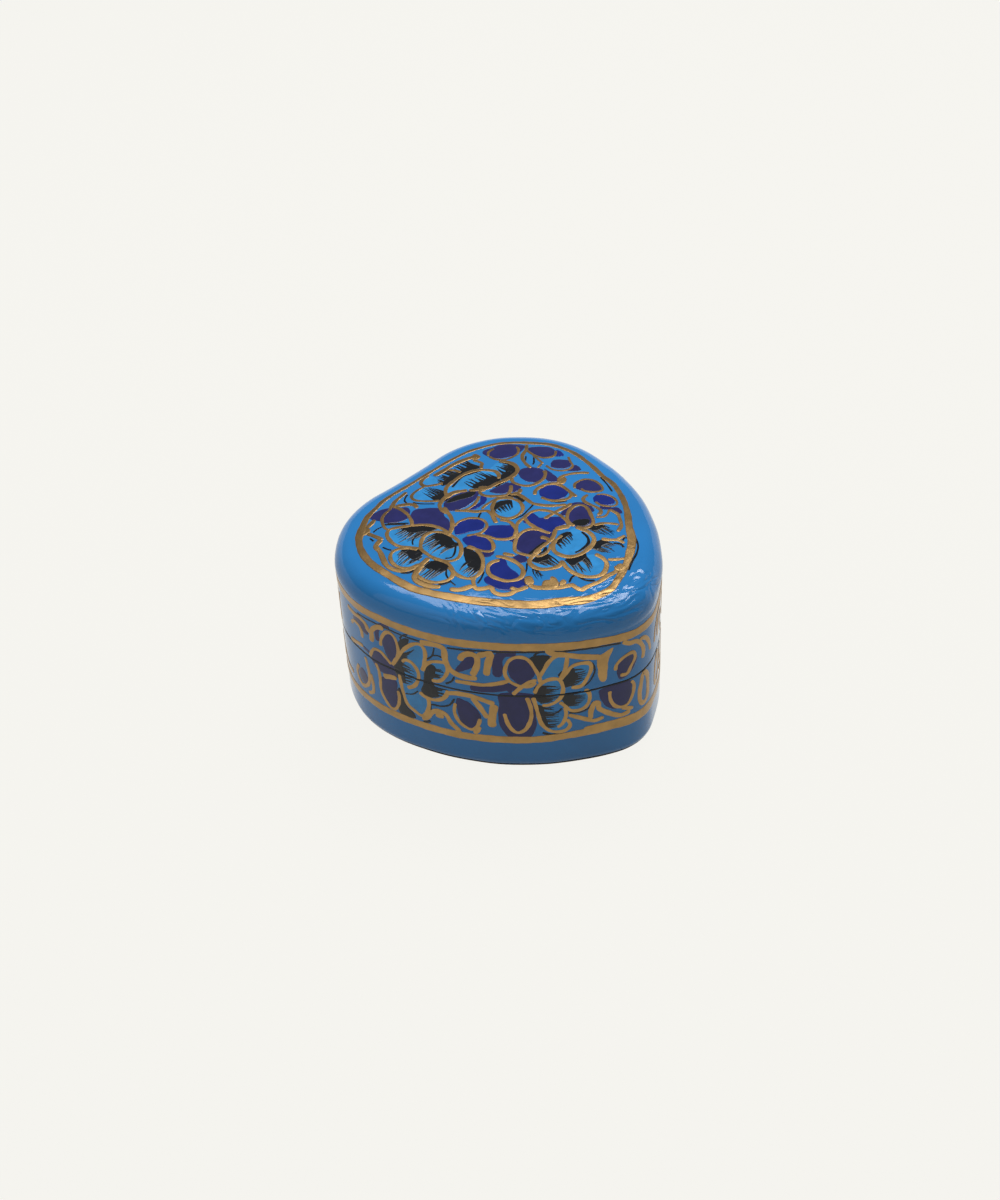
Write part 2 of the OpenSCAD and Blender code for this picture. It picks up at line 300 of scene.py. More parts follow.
TOP_MIDDLE = {
    "petals": [
        (0.7, [(4.2, 9), (5.6, 8), (6.4, 6.4), (6.3, 4.8), (5.2, 3.2), (3.5, 2.6), (1.6, 2.9),
               (0.6, 4.2), (0.6, 5.9), (1.4, 7.5), (2.6, 8.4), (4.2, 9)]),
    ],
    "gold_lines": [
        (0.6, [(6.5, 6.9), (6.2, 8), (5, 9), (3.4, 9.3), (1.4, 9.3), (0.2, 9)]),
        (0.8, [(-0.8, 9), (0.4, 7.8), (0.1, 6.3), (-0.6, 5), (-1.2, 3.9)]),
        (0.8, [(7, 8.3), (8, 7.2), (8, 6), (7.8, 4.2), (7.7, 3), (8.3, 1.6), (9.1, 0.4),
               (10.3, -0.8), (11.7, -1.9)]),
        (0.8, [(7.3, 8.1), (8.6, 7.4), (9.7, 8)]),
        (0.7, [(-9.9, 3.1), (-9.3, 1.2), (-8.7, -0.3), (-7.8, -1.2), (-6.6, -0.6),
               (-5.7, 0.8), (-5.5, 2.4), (-6.2, 4.2)]),
        (0.7, [(-6, 4), (-5.2, 2.4), (-4.6, 0.5), (-3.4, -0.9), (-2.2, -1.4), (-0.8, -0.9),
               (0, 0.4), (0.6, 1.8), (0.5, 3), (-0.2, 4)]),
        (0.7, [(-1.8, -1.3), (-0.4, -0.4), (1, 0.7), (2.3, 1.1), (3.3, 1.1), (5.2, 1.4),
               (6.8, 0.8), (7.9, -0.7), (8.3, -2.7), (8.1, -4.4), (7.6, -5.9), (6.9, -7.1)]),
        (0.8, [(3.3, 0.9), (2.7, -0.8), (2.6, -3), (2.8, -4.6), (3.1, -5.7)]),
        (0.8, [(5.6, -1.9), (8.2, -2), (10.8, -2.3), (12.6, -2.4)]),
        (0.7, [(-4, -7.7), (-4.6, -6.4), (-5, -4.7), (-4, -3.4), (-2.1, -2.1), (-0.1, -1.6),
               (1.6, -2.1), (2.5, -3.4)]),
        (0.9, [(1.1, -5), (1.5, -6.2), (1.3, -7.3)]),
        (0.8, [(-3.3, -7.6), (-1.4, -7.3), (1, -7.2), (2.5, -6.9), (3.7, -6.2), (4.7, -5.6)]),
        (1.2, [(4.5, -5.6), (6, -6.3), (6.9, -7.1)]),
        (0.6, [(-3.8, -7.9), (-3, -8.9), (-1.5, -9.1), (-0.2, -8.6), (0.9, -7.9)]),
        (0.7, [(7.5, -7.6), (7.8, -6), (9, -4.5), (11, -3.5), (12.7, -3.5), (13.5, -4.5),
               (13.2, -5.9), (12.1, -7.7), (10.8, -9.4), (9.3, -9.8), (8.2, -9.2), (7.6, -8)]),
    ],
    "royal_patches": [
        [(-8.8, 4.8), (-7.4, 5), (-6, 3.6), (-5.8, 2), (-6.3, -0.1), (-7.7, -1.1), (-8.9, 0.2),
         (-9.3, 2.4)],
        [(-4.8, 2.7), (-4, 4.2), (-2.4, 3.8), (-1, 2.4), (-0.1, 1), (-1, -0.6), (-2.4, -1.3),
         (-3.8, -0.9), (-4.8, 0.8)],
        [(2.5, -0.1), (4.3, 1), (5.5, 0.6), (5.2, -1), (6.6, -2.4), (7.6, -3.4), (7.6, -5),
         (6.4, -5.6), (5.2, -5.2), (3.8, -6), (3.3, -4.6), (3.1, -2.6)],
    ],
    "navy_patches": [
        [(-8.9, -0.3), (-7.6, -1.6), (-9.1, -2.1), (-9.8, -1.2)],
        [(-3.2, -1.6), (-1.6, -1.7), (-0.6, -1.2), (-1.4, -2.1), (-2.9, -2.7)],
        [(-4, -4.3), (-2.3, -2.7), (-0.1, -2.3), (1.6, -3), (2.7, -4.7), (3.1, -6.1),
         (1.4, -6.9), (-1.4, -7), (-3.8, -7.4)],
        [(8.2, -5.6), (9.5, -4.7), (11.2, -4), (12.7, -4.5), (13, -5.6), (12.1, -7.5),
         (10.3, -9), (9, -9), (8, -8.2), (7.7, -6.9)],
    ],
    "navy_lines": [
        (1.1, [(8.4, -3.7), (10, -3.2), (12.4, -2.9), (13.6, -3.8), (13.9, -5.4), (13.1, -7.2)]),
    ],
    "black_patches": [
        [(8, -8), (7.9, -6.8), (9, -6.6), (10.6, -7.8), (10.4, -8.8), (9, -8.9)],
    ],
    "feathers": [
        (7, 0.6, [(1.6, 7.5), (3, 7.9), (4.5, 7.6), (5.6, 6.6)],
            [(1.4, 6), (2.4, 5.8), (3.4, 5.6), (4.6, 5.3)]),
    ],
    "black_lines": [
        (0.9, [(6.2, 8.7), (7, 7.6), (7.3, 6), (6.9, 4.6)]),
        (0.35, [(1.4, 2.6), (3.4, 1.9), (5.4, 2.2), (6.9, 2.5), (7.6, 2.8)]),
        (0.7, [(-4.2, -7.1), (-1.6, -6.8), (0.6, -6.8)]),
        (0.6, [(-2.9, -8.1), (-1.7, -8.5), (-0.4, -7.9)]),
    ],
}

TOP_LOWER_FLOWER = {
    "petals": [
        (0.9, [(2.5, -7.7), (1.2, -8.2), (-0.1, -9.4), (-0.5, -11), (0.1, -12.9), (1.6, -13.9),
               (3.6, -14.1), (5.8, -13.7), (7.3, -12.6), (7.9, -10.8), (7.7, -9), (7.4, -8)]),
        (0.9, [(-1.6, -7.6), (-4.2, -7.9), (-5.6, -8.6), (-6.1, -10.1), (-5.7, -11.7),
               (-4.3, -13), (-2.6, -13.4), (-1.4, -12.8)]),
        (0.9, [(-1.6, -13), (-2.4, -14.5), (-2.7, -16.4), (-2.3, -18.4), (-1.2, -19.9),
               (0.4, -20.6), (2.1, -20.1), (3.5, -19), (4, -17.5), (3.9, -15.9)]),
        (0.8, [(8, -13.8), (8.8, -15.1), (9.9, -16.2), (10, -17.6)]),
        (0.7, [(10.1, -10.1), (11.7, -11), (12.9, -12.3), (13.5, -13.3)]),
    ],
    "gold_lines": [
        (0.6, [(2.3, -7.9), (4, -7.8)]),
        (0.7, [(4.3, -18.6), (5.6, -19.7), (6.9, -20.6)]),
        (0.7, [(9.9, -16), (11.9, -16.2)]),
    ],
    "feathers": [
        (9, 0.6, [(1.8, -8.3), (3.2, -7.9), (4.6, -7.8), (5.6, -8.3)],
            [(1.2, -10), (2.6, -10), (3.8, -9.8), (5.2, -9.2)]),
        (8, 0.7, [(-4.9, -9.1), (-4, -9), (-3, -9.1), (-2, -9.6)],
            [(-4.5, -11.2), (-3.9, -11.5), (-3.2, -12.4), (-2.4, -12.3)]),
        (9, 0.75, [(-0.9, -13.6), (0.4, -13.9), (1.8, -14.4), (2.9, -14.4)],
            [(-2, -16.6), (-0.8, -17.2), (0.4, -17.4), (1.8, -16.6)]),
        (9, 0.6, [(4.9, -14.4), (5.8, -14.3), (6.8, -14.2), (7.7, -14.3)],
            [(5.2, -16.2), (6, -16.8), (7.2, -16.7), (8.4, -16.2)]),
        (7, 0.35, [(8.7, -10.3), (9.6, -10.4), (10.4, -10.6), (11.2, -11)],
            [(8.9, -12.2), (9.7, -13.2), (10.7, -13.4), (11.5, -12.6)]),
        (5, 0.3, [(-5.9, -9.8), (-6.4, -10.8), (-6.6, -11.8)],
            [(-7.8, -12.2), (-7.2, -12.7), (-6.8, -13)]),
    ],
    "black_lines": [
        (0.6, [(7.1, -9.8), (6.7, -11.5), (5.5, -12.9), (3.2, -13.3), (1.7, -13)]),
        (0.5, [(-2.9, -17.9), (-2.7, -19.6), (-1.7, -20.9)]),
        (0.45, [(-5.2, -17.9), (-4, -17.3), (-2.9, -17.3)]),
        (0.4, [(10.3, -16.9), (11.2, -16.6), (11.6, -16.9)]),
        (0.5, [(8.6, -16.2), (9.3, -17.3), (9, -18.4)]),
        (0.35, [(-8.9, -10.4), (-7.4, -9.6), (-6.1, -8.4)]),
    ],
}

TOP_LEFT_EDGING = {
    "royal_patches": [
        [(-12.9, -6.6), (-12.2, -4.8), (-10.6, -4), (-8.7, -4.1), (-8.3, -5.2), (-9.1, -6.6),
         (-9.4, -8.4), (-9.8, -9.7), (-11, -9.8), (-12.4, -8.8)],
    ],
    "navy_patches": [
        [(-13.6, -9.6), (-12, -10.2), (-10, -10.8), (-9.9, -11.8), (-11, -12.6), (-12.4, -12),
         (-13.6, -11.2)],
        [(-6.9, -5.8), (-5.4, -5.6), (-4.9, -6.6), (-5.4, -7.8), (-6.6, -7.6)],
    ],
    "royal_lines": [
        (2.2, [(-13.4, -5.6), (-14, -7.6), (-13.6, -9.8), (-12.2, -11.2), (-10.4, -11.6)]),
    ],
    "gold_lines": [
        (0.85, [(-8.7, -4.2), (-10, -3.6), (-11.5, -3.9), (-12.7, -5.3), (-12.9, -7),
                (-12.2, -9.2), (-10.6, -10.4), (-8.9, -10.1), (-7.6, -8.6), (-7.2, -6.4),
                (-7.6, -4.3), (-8.4, -2.8)]),
        (0.9, [(-6.9, -3.2), (-6.5, -4.2), (-6, -5.3)]),
        (1.1, [(-20.3, -2.9), (-19.6, -4.3), (-18.3, -5.1), (-17, -5.5)]),
        (1.0, [(-16.9, -5.4), (-17.2, -6.6), (-16.3, -7.6), (-15.3, -8.2), (-15.8, -9.6),
               (-15.5, -10.9), (-14.4, -12), (-13.3, -12.2), (-12.2, -12.7), (-10.8, -13.2)]),
        (0.9, [(-13.1, -10.9), (-12.9, -11.6), (-12.6, -12.3)]),
        (1.5, [(-8.7, -11.1), (-9.4, -12), (-10.3, -13.2)]),
        (1.1, [(-10.3, -12.8), (-10.2, -14.2), (-9.4, -15.3), (-8.4, -16.4), (-7.4, -17.5),
               (-6.2, -18.2), (-5.4, -18.6)]),
        (1.2, [(-6.7, -17.5), (-5.9, -17), (-5.2, -17.1)]),
        (1.5, [(3.2, -21.6), (4.4, -21.5), (5.4, -21.3)]),
        (1.0, [(-5.3, -18.2), (-5.4, -19.6), (-5.3, -20.8)]),
    ],
    "gold_patches": [
        [(-9.4, -15.3), (-8.6, -14.4), (-7.5, -14.2), (-6.9, -14.8), (-6.2, -14.3), (-5.8, -15),
         (-6.3, -16.4), (-7.4, -17.2), (-8.8, -16.7)],
    ],
}

# On the walls the first number is the way round from the tip and the second is the height
WALL_LEFT_SCROLLS = {
    "navy_patches": [
        [(-57.6, 25.9), (-57, 27), (-55.4, 27.4), (-53.9, 26.7), (-53.4, 25), (-54.6, 24.6),
         (-55.6, 25.8)],
        [(-57.7, 13.1), (-56.8, 14.4), (-55.6, 14.1), (-54.9, 12.6), (-55.6, 11.4), (-57, 11.3)],
    ],
    "gold_lines": [
        (0.9, [(-49.2, 28.2), (-50.9, 27.7), (-52.2, 26.3), (-52.3, 24.8), (-52.6, 23.5)]),
        (0.8, [(-52.3, 25.7), (-53.2, 25.9), (-53.7, 26.9), (-55.2, 27.6), (-57.5, 27.5),
               (-59.5, 27.8)]),
        (0.7, [(-58.6, 24.4), (-57.5, 25.5), (-55.9, 25.4), (-55.2, 24.3), (-55.2, 22.9)]),
        (0.8, [(-59.6, 19.9), (-58.4, 20.1), (-56.8, 20.5), (-55.2, 20.9)]),
        (0.7, [(-55, 18.4), (-54.5, 16.1), (-54.3, 13.8), (-55, 11.5), (-56.8, 10.2),
               (-58.1, 11.1), (-58.6, 12.7), (-57.7, 14.7)]),
        (0.7, [(-53.8, 15), (-53.4, 12.5), (-53.6, 10.6), (-55, 9.5)]),
    ],
}

WALL_FLOWER_WITH_SCALLOPS = {
    "navy_patches": [
        [(-49.6, 24), (-49.4, 26), (-48.4, 27.5), (-47.3, 26.8), (-46.6, 24.8), (-47, 22.6),
         (-48, 21.2), (-49, 22.2)],
        [(-53, 19.5), (-52.4, 21.2), (-51, 21.8), (-49.6, 21.5), (-48, 20), (-46.4, 19.6),
         (-46.6, 18), (-49, 17.3), (-51.5, 17.4), (-52.3, 18.4)],
        [(-49, 16.2), (-50.6, 15.6), (-51, 13.8), (-50.4, 11.5), (-49.3, 9.7), (-47.9, 10.2),
         (-47.5, 12.7), (-47.4, 16.1)],
    ],
    "navy_lines": [
        (1.1, [(-50.9, 24.4), (-51, 26.4), (-50.3, 28.1), (-48.8, 28.9), (-47.9, 28.5)]),
        (0.8, [(-55.2, 20.6), (-53.8, 20.4), (-52.6, 20)]),
    ],
    "petals": [
        (0.65, [(-46.4, 18.6), (-46.2, 16.5), (-45.9, 14.5), (-45.2, 12), (-43.8, 10.9),
                (-42.2, 10.2), (-41.3, 11.1), (-40.6, 12.7), (-40.5, 14.6), (-41.4, 15.6)]),
        (0.65, [(-47.9, 20.2), (-46.5, 22.5), (-45, 25), (-43.1, 27), (-41.5, 27.7),
                (-40.6, 27), (-40.4, 25.4), (-40.9, 22.9), (-41.3, 21.5)]),
        (0.65, [(-45.5, 22), (-44.7, 22.8), (-43.4, 22.7), (-42.4, 21.5), (-42.1, 20),
                (-42.5, 18.4), (-43.4, 17), (-44.8, 16.1)]),
        (0.65, [(-41.2, 21.5), (-40.6, 23), (-39.4, 24.2), (-37.7, 24.7), (-36.4, 24.6),
                (-36.2, 22.9), (-37, 21.1), (-38.1, 20), (-39.5, 19.8)]),
        (0.7, [(-42.2, 16.1), (-41.1, 15.3), (-39.3, 15.1), (-37.7, 15.8), (-36.8, 17),
               (-36.5, 18.2)]),
    ],
    "gold_lines": [
        (0.6, [(-50.3, 23.6), (-50, 25.4), (-49, 27.2), (-47.9, 27.8), (-46.8, 27.2),
               (-46.2, 25.2), (-46.3, 23.4), (-47, 21.5), (-47.9, 20.2)]),
        (0.6, [(-53.3, 19.6), (-52.7, 21.1), (-51.8, 22.1), (-50.4, 22.1), (-49.3, 21.3),
               (-48.1, 20.2)]),
        (0.6, [(-52, 18.7), (-51.4, 17.2), (-51.2, 15), (-51.3, 12.7), (-50.6, 10.9),
               (-49.3, 9.3), (-48.1, 9.3), (-47.2, 10.9), (-46.9, 12.9), (-47.1, 14.3)]),
        (0.9, [(-50.3, 16.4), (-48.8, 16.9), (-47.1, 17.3)]),
        (1.0, [(-41.3, 28.2), (-39.3, 28.5), (-37.5, 28.5), (-36.6, 27.9), (-36.5, 25.6),
               (-35.9, 23.8), (-34.7, 22.7), (-32.5, 22.2), (-30.7, 22.3)]),
        (0.8, [(-42.2, 9.5), (-41.1, 10), (-40, 11.8), (-38.6, 12.6), (-37.2, 12),
               (-36.3, 10.2), (-35.2, 9), (-34.7, 8.1)]),
        (1.3, [(-39.2, 11.9), (-38.4, 11.6), (-37.8, 11.9)]),
    ],
    "black_patches": [
        [(-46.3, 24.4), (-45.9, 26.6), (-44.9, 27.6), (-43.7, 28), (-44, 26.8), (-45, 25.4)],
        [(-47.3, 13.4), (-46.6, 15), (-45.9, 12.8), (-45.3, 11.2), (-44, 10.2), (-43.8, 9.2),
         (-45, 8.7), (-46.6, 8.8), (-47.3, 9.8), (-46.9, 11.6)],
        [(-40.9, 20.5), (-40.4, 22.5), (-39.4, 23.4), (-38.6, 22.8), (-38.9, 21.2),
         (-39.3, 19.5), (-38.8, 17.6), (-38.4, 16.4), (-39.4, 15.8), (-41, 15.9),
         (-41.7, 16.9), (-41.2, 18.4)],
    ],
    "feathers": [
        (4, 0.7, [(-46.9, 21.2), (-45.8, 23), (-44.7, 24.3)],
            [(-45.2, 21.8), (-44, 24.8), (-42.8, 25.8)]),
        (8, 0.7, [(-46.6, 22), (-46.9, 20.5), (-46.7, 18.6), (-46.1, 17)],
            [(-45, 21.6), (-43.9, 20.6), (-43.8, 18.9), (-44.4, 17.2)]),
        (4, 0.7, [(-39.7, 23), (-39.6, 21.6), (-39.8, 20.4)],
            [(-37.7, 23), (-37.5, 21.8), (-38.2, 20.7)]),
        (4, 0.7, [(-39.6, 18.4), (-39.4, 17.2), (-39.6, 16.2)],
            [(-37.4, 18.3), (-37.4, 16.9), (-37.9, 16.2)]),
    ],
    "black_lines": [
        (0.35, [(-45.4, 14.4), (-43.8, 14.9), (-42.5, 16.2)]),
        (0.4, [(-40.2, 12.3), (-40, 13.7), (-37.9, 13.9), (-36.3, 14.7), (-35.3, 16.4)]),
        (0.35, [(-40.1, 24.6), (-39, 25.8), (-38.5, 27.8)]),
        (0.35, [(-39, 25.8), (-37.9, 26.1), (-37, 25.8)]),
        (0.4, [(-35, 21.8), (-35.6, 20.6), (-36.8, 19.7)]),
        (0.6, [(-42, 8.7), (-41.2, 9), (-40.4, 9.5)]),
        (0.35, [(-45.6, 27.4), (-44.8, 28.5), (-43.8, 29)]),
    ],
}

WALL_TENDRILS = {
    "navy_patches": [
        [(-34.5, 23.8), (-33.5, 25.4), (-32.2, 27), (-31, 26.9), (-31.1, 25.4), (-32.5, 24.1),
         (-34, 23.4)],
        [(-34.8, 16.1), (-33.5, 16.3), (-31.9, 15.2), (-30.7, 13.4), (-31.2, 11.5),
         (-32.3, 10.2), (-33.7, 10.6), (-34.6, 12.5)],
    ],
    "navy_lines": [
        (0.7, [(-32.6, 28.3), (-31.8, 28.7), (-30.9, 28.4)]),
        (1.6, [(-32.2, 19.8), (-29.5, 19.9), (-27, 20.2), (-24.6, 20.8), (-23.4, 20.2)]),
    ],
    "gold_lines": [
        (1.0, [(-33.7, 26), (-33.2, 27.2), (-31.9, 27.9), (-30.6, 27.4), (-30.5, 25.8),
               (-30.9, 24.4), (-31.6, 22.8)]),
        (1.1, [(-30.4, 27.6), (-29.2, 28.1), (-28, 28.4), (-28.4, 26.6), (-28.8, 24.7),
               (-29, 23.1)]),
        (0.7, [(-34.9, 20.9), (-32.5, 20.9), (-30, 20.8), (-27.8, 21.2), (-26, 21.8),
               (-24.9, 22.3)]),
        (0.6, [(-35.2, 15.4), (-35.5, 13.1), (-34.8, 11.1), (-33.7, 10), (-32.3, 9.5),
               (-31.2, 10.6), (-30.6, 12.5)]),
        (0.8, [(-32, 8.7), (-31.2, 9.4), (-30.9, 10.6)]),
        (0.9, [(-36.6, 17.5), (-34.6, 17.9), (-31.9, 17.8), (-30, 17.2), (-27.8, 16.4)]),
        (0.9, [(-31.9, 17.5), (-30.5, 15.2), (-29.2, 12.8)]),
        (1.3, [(-27.8, 16.3), (-28.2, 14.2), (-28.5, 12.2), (-28.4, 10.7)]),
    ],
}

WALL_FLOWER_WITH_DROP = {
    "navy_patches": [
        [(-24.8, 24.8), (-24.3, 26.8), (-22.8, 27.6), (-21.2, 26.8), (-20.4, 24.6),
         (-21.2, 22.6), (-22.8, 21.8), (-24.2, 22.8)],
        [(-26.3, 18.6), (-26.7, 16), (-26.9, 13), (-26.3, 10.5), (-25, 8.9), (-22.5, 8.7),
         (-21.2, 10), (-20.6, 12.5), (-21, 16), (-21.2, 18.7)],
    ],
    "navy_lines": [
        (1.9, [(-27, 22.9), (-26.9, 25.2), (-26.7, 27.4), (-25.4, 28.8), (-23.4, 28.7)]),
        (1.2, [(-25.8, 21.8), (-25.2, 20.6), (-24.6, 19.6)]),
    ],
    "gold_lines": [
        (0.6, [(-22.7, 20.9), (-24.4, 21.8), (-25.4, 23.1), (-25.6, 24.7), (-24.9, 26.8),
               (-23.7, 27.8), (-22.3, 27.8), (-21.2, 27), (-20.3, 25.2), (-19.6, 23.4),
               (-19.4, 21.8)]),
        (0.65, [(-24.4, 19), (-23.2, 20.4), (-21.6, 21.9), (-20, 22.5)]),
        (0.65, [(-22.4, 20.9), (-21, 21.2), (-20.2, 22)]),
        (1.0, [(-18.2, 29.5), (-16.9, 28.4), (-14.8, 27.9), (-12.5, 27.1), (-10, 26.3),
               (-8.4, 25.9)]),
        (0.65, [(-21.9, 18.4), (-21.3, 16.1), (-21.2, 13.8), (-21.7, 11.8), (-22.5, 10.4),
                (-23.7, 9.7), (-24.8, 10.4), (-25.6, 12), (-26.1, 14.3)]),
        (0.6, [(-15.2, 15.4), (-14.9, 13.8), (-15.3, 12), (-16, 11), (-16.6, 10.7)]),
        (0.8, [(-14.5, 13.4), (-12.2, 12.2), (-10.6, 11.3), (-9.5, 10.9), (-7.9, 11.3)]),
        (0.9, [(-10.4, 11.5), (-10.3, 13.4), (-9.7, 15.1), (-8.9, 15), (-8.8, 13.7),
               (-7.6, 12.5), (-6, 11.3), (-4.5, 10.6), (-2.6, 10.9)]),
    ],
    "gold_patches": [
        [(-6, 27.4), (-7.6, 26.8), (-9, 25.9), (-9, 22.9), (-8.6, 20.4), (-7.4, 19.9),
         (-7.1, 22.9), (-6.8, 25.2)],
    ],
    "petals": [
        (0.65, [(-19.6, 22.9), (-18.7, 24.7), (-17.8, 26.5), (-16.6, 27.7), (-14.7, 28),
                (-14.6, 26.3), (-15, 24.3), (-15.9, 22.4)]),
        (0.65, [(-20.5, 19.3), (-19.8, 20.9), (-18.7, 22), (-17.3, 22.5), (-16, 22.2),
                (-15.4, 20.6), (-15.4, 19.3), (-15.8, 17.9), (-16.9, 16.8), (-18.2, 16.3),
                (-19.2, 16.4)]),
        (0.65, [(-15.8, 22.2), (-14.8, 23.6), (-13.7, 25), (-12.1, 25.4), (-10.5, 25),
                (-10.2, 23.6), (-11, 21.5), (-12.1, 20), (-13.9, 20)]),
        (0.65, [(-16, 16.8), (-15, 15.6), (-14.1, 14.5), (-12.8, 14.2), (-11.4, 14.7),
                (-10.6, 16.1), (-10.6, 17.9), (-11.4, 19)]),
        (0.65, [(-20.8, 18.4), (-20.3, 16.1), (-19.9, 13.8), (-19.4, 11.8), (-18.2, 10.2),
                (-16.6, 9.5), (-15, 9.7), (-14.2, 10.9), (-14.8, 12.4)]),
    ],
    "black_patches": [
        [(-21, 27.6), (-19.4, 28.1), (-17.7, 27.8), (-18.4, 26.2), (-19.4, 24.4), (-20.2, 26)],
        [(-15.5, 22.4), (-14.8, 23.8), (-13.7, 24.6), (-13.3, 24), (-13.6, 22), (-14, 20.6),
         (-15, 20.4)],
        [(-15.7, 18.2), (-14.6, 18.5), (-13.8, 17.6), (-14, 15.9), (-14.6, 15.5), (-15.2, 16.4)],
    ],
    "feathers": [
        (7, 0.55, [(-19.7, 21), (-20, 19.8), (-19.8, 18.2), (-19.2, 17)],
            [(-17.4, 20.8), (-16.8, 19.7), (-16.8, 18.3), (-17.4, 17.1)]),
        (6, 0.55, [(-14.1, 24.4), (-13.9, 23), (-13.9, 21.6), (-14.2, 20.6)],
            [(-12.4, 24.2), (-11.8, 23.2), (-11.8, 22), (-12.4, 21)]),
        (6, 0.55, [(-14.6, 18.3), (-14.2, 17.4), (-14.2, 16.4), (-14.4, 15.7)],
            [(-12.4, 18.1), (-12, 17.2), (-12.2, 16.2), (-12.8, 15.4)]),
        (9, 0.5, [(-20.2, 16.6), (-19.9, 14.6), (-19.5, 12.6), (-18.8, 10.9)],
            [(-17.6, 16), (-17.2, 14), (-16.8, 12), (-17.2, 10.7)]),
    ],
    "black_lines": [
        (0.35, [(-20.4, 28.2), (-19.6, 28.8), (-18.6, 29)]),
        (0.5, [(-15.3, 24.2), (-16, 23.3), (-15.5, 22.6)]),
        (0.35, [(-18.8, 14.2), (-17.6, 13.9), (-16.4, 14.4), (-15.6, 15.2)]),
        (0.5, [(-19.3, 9.6), (-17.6, 8.9), (-15.4, 9)]),
        (0.35, [(-10, 25), (-9.5, 23), (-10.4, 20.8), (-11.6, 19.8)]),
        (0.35, [(-14.4, 13.9), (-12.6, 13.6), (-10.8, 14.2), (-9.9, 15.6)]),
    ],
}

WALL_TIP_BUDS = {
    "navy_patches": [
        [(-5.2, 21.6), (-5, 23.4), (-3.8, 24.6), (-2.2, 24.6), (-1.2, 23.2), (-1.9, 21.4),
         (-3.2, 19.9), (-4.7, 19.8)],
        [(-8, 18), (-8.3, 16.5), (-7.5, 14.3), (-6, 13), (-4, 13), (-2.9, 14), (-2.6, 16),
         (-3, 18.2)],
    ],
    "gold_lines": [
        (0.6, [(-5.6, 21.8), (-5.4, 23.1), (-4.2, 24.3), (-2.6, 24.8), (-1.7, 24.3),
               (-1.6, 23.1), (-2.4, 21.8), (-3.3, 20.3), (-4.7, 20.4)]),
        (0.6, [(-6.7, 17.2), (-6.6, 15.2), (-5.8, 13.4), (-4.5, 12.6), (-3.1, 12.9),
               (-2.1, 14.7), (-1.8, 16.8), (-2.4, 18.1)]),
        (0.7, [(-4.4, 12.4), (-3.2, 11.8), (-2, 11.3)]),
        (0.9, [(0.6, 18.2), (1.8, 17), (2.1, 14.7), (2, 12), (1, 10.9), (-0.1, 11.5),
               (-0.4, 13.8), (0.1, 16.5), (0.6, 18.2)]),
        (0.8, [(-4.2, 28.1), (-2.9, 27.2), (-1.3, 26.8), (-0.1, 25.6), (0.7, 23.6),
               (0.4, 21.8)]),
        (0.7, [(-0.4, 26.8), (1.2, 26.1), (2.4, 24.3), (3, 22)]),
    ],
}

WALL_BANDS = {
    "gold_lines": [
        (1.5, [(-95.3, 30.1), (-80, 29.9), (-60, 30.1), (-50, 30.2), (-40, 30.1), (-30, 30.2),
               (-20, 30.1), (-12, 29.7), (-5, 29.2), (0, 28.8), (8, 28.7), (20, 29.2),
               (35, 29.8), (55, 30.1), (75, 30), (95.3, 30.1)]),
        (1.4, [(-128, 7.9), (-110, 8.1), (-90, 7.7), (-75, 7.9), (-60, 7.8), (-50, 7.9),
               (-40, 7.8), (-35, 7.6), (-28, 7.8), (-22, 7.9), (-14, 8.3), (-9, 8.6)]),
        (1.9, [(-11.9, 8.7), (-6, 8.8), (0, 8.6), (10, 8.4), (25, 8, 1.6), (40, 7.8, 1.5),
               (52, 7.9, 1.4), (63, 8, 1.4)]),
    ],
    "black_lines": [
        (0.35, [(-56, 28.3), (-50, 28.5), (-44, 28.4), (-38, 28.4)]),
        (0.4, [(-36, 28.5), (-30, 28.8), (-22, 29), (-14, 28.7), (-7, 28.2), (-4.6, 27.9)]),
        (0.35, [(12, 27.8), (24, 28.4), (36, 28.7), (48, 28.7)]),
        (0.35, [(70, 28.6), (84, 28.4), (98, 28.5), (116, 28.5)]),
    ],
}

TOP_MOTIFS = (TOP_BORDER, TOP_LEFT_FLOWER, TOP_UPPER_LEFT, TOP_UPPER_FLOWER, TOP_RIGHT_BUDS,
              TOP_MIDDLE, TOP_LOWER_FLOWER, TOP_LEFT_EDGING)
WALL_MOTIFS = (WALL_LEFT_SCROLLS, WALL_FLOWER_WITH_SCALLOPS, WALL_TENDRILS,
               WALL_FLOWER_WITH_DROP)


def display_colour(red, green, blue):
    """A colour given as it looks on a screen, from 0 to 255, as the linear values that shaders take"""
    def linear(value):
        share = value / 255
        return share / 12.92 if share <= 0.04045 else ((share + 0.055) / 1.055) ** 2.4

    return (linear(red), linear(green), linear(blue))


def length_value(name, description, default):
    """A length that a user can change, in metres, given in millimetres"""
    return FloatProperty(
        name=name, description=description, default=default * MM, min=0.0,
        subtype="DISTANCE", unit="LENGTH", precision=5)


def colour_value(name, description, red, green, blue):
    """A colour that a user can change, given as it looks on a screen"""
    return FloatVectorProperty(
        name=name, description=description, default=display_colour(red, green, blue),
        min=0.0, max=1.0, size=3, subtype="COLOR")


def node_height(node, end):
    """Lowest or highest point of a CAD node, in millimetres"""
    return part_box(node)[end].z / MM


